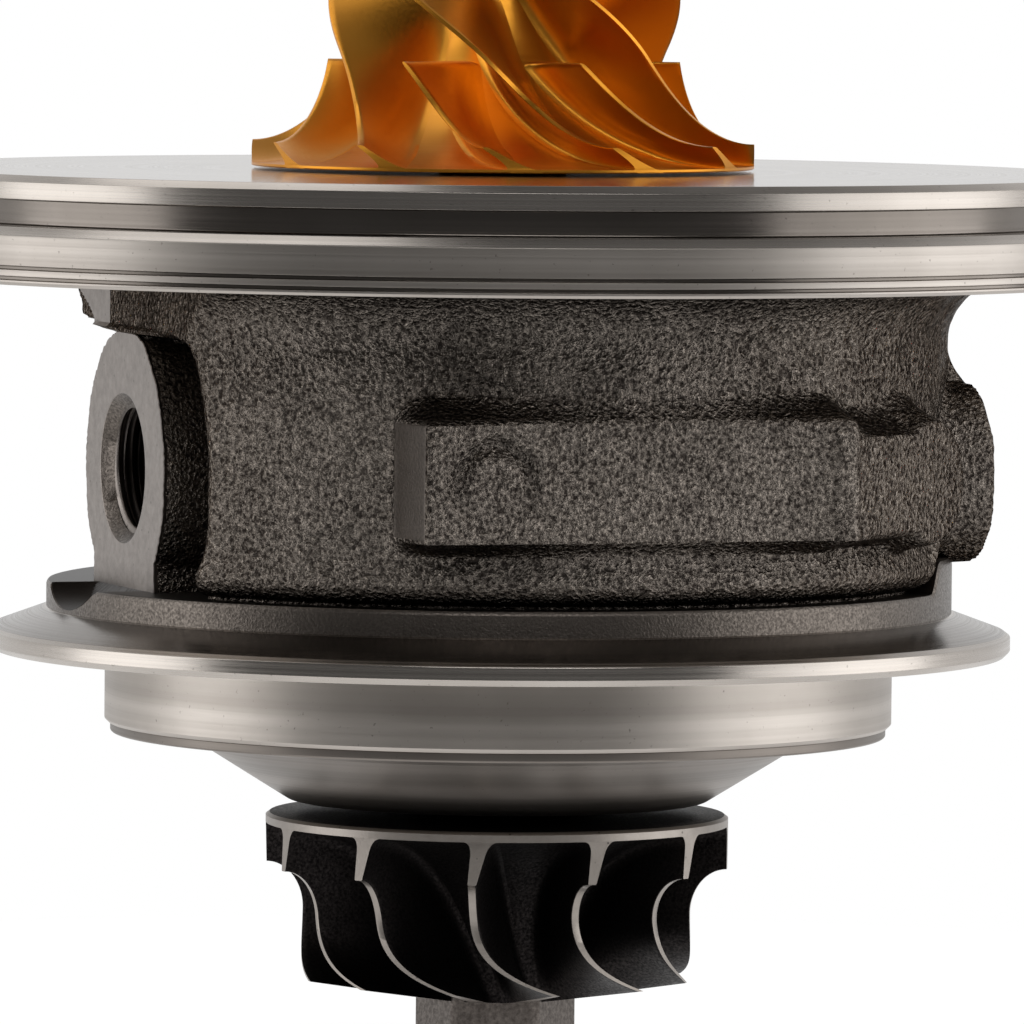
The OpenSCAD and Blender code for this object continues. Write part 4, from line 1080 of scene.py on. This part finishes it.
def ground_shaft():
    """Shaft of revolution: seal hub with its ring groove, journal and stem. The stem's end has a
    thread, a rounded helix, and a turned-off tip."""
    hub_r, hub_h, groove_r, journal_r = 7.3, 8.6, 5.9, 4.0
    pitch, thread, ring_gap = 0.8, 0.42, 0.05
    low, high = SHAFT_LOW[2], SHAFT_HIGH[2]
    groove_low = node_box("turbine_seal_ring")[0][2] - ring_gap
    groove_high = node_box("turbine_seal_ring")[1][2] + ring_gap
    collar = node_box("thrust_collar")[0][2]
    turns = np.linspace(0, 2 * math.pi, 96, endpoint=False)
    levels = np.linspace(NUT_LOW[2] + 1, high - 0.5, 110)
    helix = thread_radius(STEM_R - 0.02, levels[:, None], pitch, turns, -thread)
    plain = np.array([
        (POINT_R, low), (hub_r, low), (hub_r, groove_low), (groove_r, groove_low),
        (groove_r, groove_high), (hub_r, groove_high), (hub_r, low + hub_h - 0.5),
        (hub_r - 0.5, low + hub_h), (journal_r, low + hub_h), (journal_r, collar), (STEM_R, collar),
        (STEM_R, levels[0] - 0.4)])
    tip = np.array([(STEM_R - 0.6, high), (POINT_R, high)])
    radii = np.concatenate([np.tile(plain[:, :1], 96), helix, np.tile(tip[:, :1], 96)])
    heights = np.concatenate([plain[:, 1], levels, tip[:, 1]])[:, None]
    points = polar(radii, np.degrees(turns), heights)
    piece = add_mesh("ground_shaft", points, grid_quads(len(radii), 96, True, True), [GROUND_STEEL])
    finish_piece(piece, "rotor", "shaft")


# Stage, in metres

def aimed(name, data, place, right, back):
    """Object at a place that looks against the direction back, with its right side to the right."""
    matrix = np.eye(4)
    matrix[:3, :3] = np.stack([right, np.cross(back, right), back], -1)
    matrix[:3, 3] = place
    made = link_object(name, data)
    made.matrix_world = Matrix(matrix.tolist())
    return made


def place_camera():
    """Long lens a little above the object, at the photograph's angle and slight tilt to one side."""
    target = np.array([0.001275, 0.0, 0.0143])
    distance, lift, roll = 1.106, math.radians(3.29), math.radians(0.53)
    back = np.array([0, -math.cos(lift), math.sin(lift)])
    level_up = np.array([0, math.sin(lift), math.cos(lift)])
    right = math.cos(roll) * np.array([1, 0, 0]) + math.sin(roll) * level_up
    lens = bpy.data.cameras.new("camera")
    lens.sensor_width = 36.0
    lens.lens = 375.15
    lens.clip_start = 0.01
    bpy.context.scene.camera = aimed("camera", lens, target + distance * back, right, back)


def shown_ray(tree):
    """1 for rays that come from the camera, a mirror or glass, so that they all see the floor's white."""
    path = tree.nodes.new("ShaderNodeLightPath").outputs
    seen = add(tree, "Math", {0: path["Is Camera Ray"], 1: path["Is Glossy Ray"]}, operation="MAXIMUM")
    return add(tree, "Math", {0: seen, 1: path["Is Transmission Ray"]}, operation="MAXIMUM")


FLOOR_R = 0.14


def pale_floor():
    """Round white floor below the turbine nose: mostly its own white, with a faint soft shadow. It
    stays small, so that the front of the metal mirrors the dark side of the room and not the floor."""
    columns = 96
    rings = np.linspace(0.0005, FLOOR_R, 5)
    angles = np.arange(columns) * 360 / columns
    points = polar(rings[:, None], angles, (TURB_LOW[2] - 0.2) * MM).reshape(-1, 3)
    quads = grid_quads(len(rings), columns, False, True)[:, ::-1]
    mesh = bpy.data.meshes.new("floor")
    mesh.from_pydata(points.tolist(), [], quads.tolist() + [list(range(columns))])
    floor = link_object("floor", mesh)
    material = bpy.data.materials.new("white_paper")
    material.use_nodes = True
    tree = material.node_tree
    tree.nodes.clear()
    shown = shown_ray(tree)
    white = add(tree, "Emission", {"Color": (1, 1, 1, 1), "Strength": 0.94})
    shade = add(tree, "BsdfDiffuse", {"Color": (0.16, 0.16, 0.16, 1)})
    paper = add(tree, "BsdfDiffuse", {"Color": (0.7, 0.7, 0.7, 1)})
    lit = add(tree, "AddShader", {0: white, 1: shade})
    both = add(tree, "MixShader", {0: shown, 1: paper, 2: lit})
    add(tree, "OutputMaterial", {"Surface": both})
    mesh.materials.append(material)


def studio_world():
    """White behind for the camera. For everything else a soft room: bright at the sides and the
    back, dark in front within about 55 degrees of the camera, which gives turned metal its dark
    middle, and dimmer overhead."""
    world = bpy.data.worlds.new("studio")
    bpy.context.scene.world = world
    world.use_nodes = True
    tree = world.node_tree
    tree.nodes.clear()
    camera_ray = add(tree, "LightPath", out="Is Camera Ray")
    direction = add(tree, "TexCoord", out="Generated")
    level = add(tree, "VectorMath", {0: direction, 1: (1, 1, 0)}, operation="MULTIPLY")
    unit = add(tree, "VectorMath", {0: level}, operation="NORMALIZE")
    front = add(tree, "VectorMath", {0: unit, 1: (0, -1, 0)}, out="Value", operation="DOT_PRODUCT")
    height = add(tree, "SeparateXYZ", {"Vector": direction}, out="Z")
    sides = add(tree, "MapRange", {
        "Value": front, "From Min": 0.1, "From Max": 0.45, "To Min": 0.8, "To Max": 0.1},
        interpolation_type="SMOOTHSTEP")
    back = add(tree, "MapRange", {
        "Value": front, "From Min": -0.95, "From Max": -0.8, "To Min": 1.05, "To Max": 1.0},
        interpolation_type="SMOOTHSTEP")
    around = add(tree, "Math", {0: sides, 1: back}, operation="MULTIPLY")
    over = add(tree, "MapRange", {
        "Value": height, "From Min": 0.5, "From Max": 0.95, "To Min": 1.0, "To Max": 0.25},
        interpolation_type="SMOOTHSTEP")
    room = add(tree, "Math", {0: around, 1: over}, operation="MULTIPLY")
    strength = add(tree, "Mix", {FACTOR: camera_ray, 2: room, 3: 1.0}, data_type="FLOAT")
    light = add(tree, "Background", {"Color": (1, 1, 1, 1), "Strength": strength})
    add(tree, "OutputWorld", {"Surface": light})


LAMP_AIM = np.array([0, 0, 0.01])


def softbox(name, place, size, power):
    """Rectangular soft lamp at a place, aimed at the middle of the object."""
    lamp = bpy.data.lights.new(name, "AREA")
    lamp.shape = "RECTANGLE"
    lamp.size, lamp.size_y = size
    lamp.energy = power
    back = np.array(place) - LAMP_AIM
    back /= np.linalg.norm(back)
    right = np.cross(UP, back)
    aimed(name, lamp, place, right / np.linalg.norm(right), back)


def light_studio():
    """Large softboxes at the left and right, a strip high in front and one above to the left."""
    softbox("left_softbox", (-1.0, -0.05, 0.15), (0.73, 1.0), 2.8)
    softbox("right_softbox", (0.99, -0.16, 0.15), (1.06, 1.0), 4.2)
    softbox("front_softbox", (0.1, -0.86, 0.48), (0.8, 0.25), 1.7)
    softbox("top_softbox", (-0.42, 0.1, 0.95), (0.7, 0.6), 1.6)


# Build

compressor_backplate()
heat_shield()
clamp_flange()
turned_hub()
housing_casting()
inlet_port()
drain_face()
compressor_wheel()
turbine_wheel()
shaft_nut()
ground_shaft()

NODE_FINISHES = {
    "backplate_screws": PHOSPHATED_STEEL, "backplate_o_ring": NITRILE_RUBBER,
    "thrust_collar": GROUND_STEEL, "flinger_sleeve": GROUND_STEEL, "thrust_bearing": BEARING_BRONZE,
    "thrust_bearing_pins": GROUND_STEEL, "oil_deflector": PRESSED_STEEL,
    "compressor_journal_bearing": BEARING_BRONZE, "turbine_journal_bearing": BEARING_BRONZE,
    "compressor_bearing_outer_clip": SPRING_STEEL, "compressor_bearing_inner_clip": SPRING_STEEL,
    "turbine_bearing_inner_clip": SPRING_STEEL, "turbine_bearing_outer_clip": SPRING_STEEL,
    "compressor_seal_ring": SPRING_STEEL, "turbine_seal_ring": SPRING_STEEL}
for node, finish in NODE_FINISHES.items():
    for material_slot in frame["nodes"][node].material_slots:
        material_slot.material = finish

place_camera()
pale_floor()
studio_world()
light_studio()
bpy.context.scene.view_settings.view_transform = "Standard"
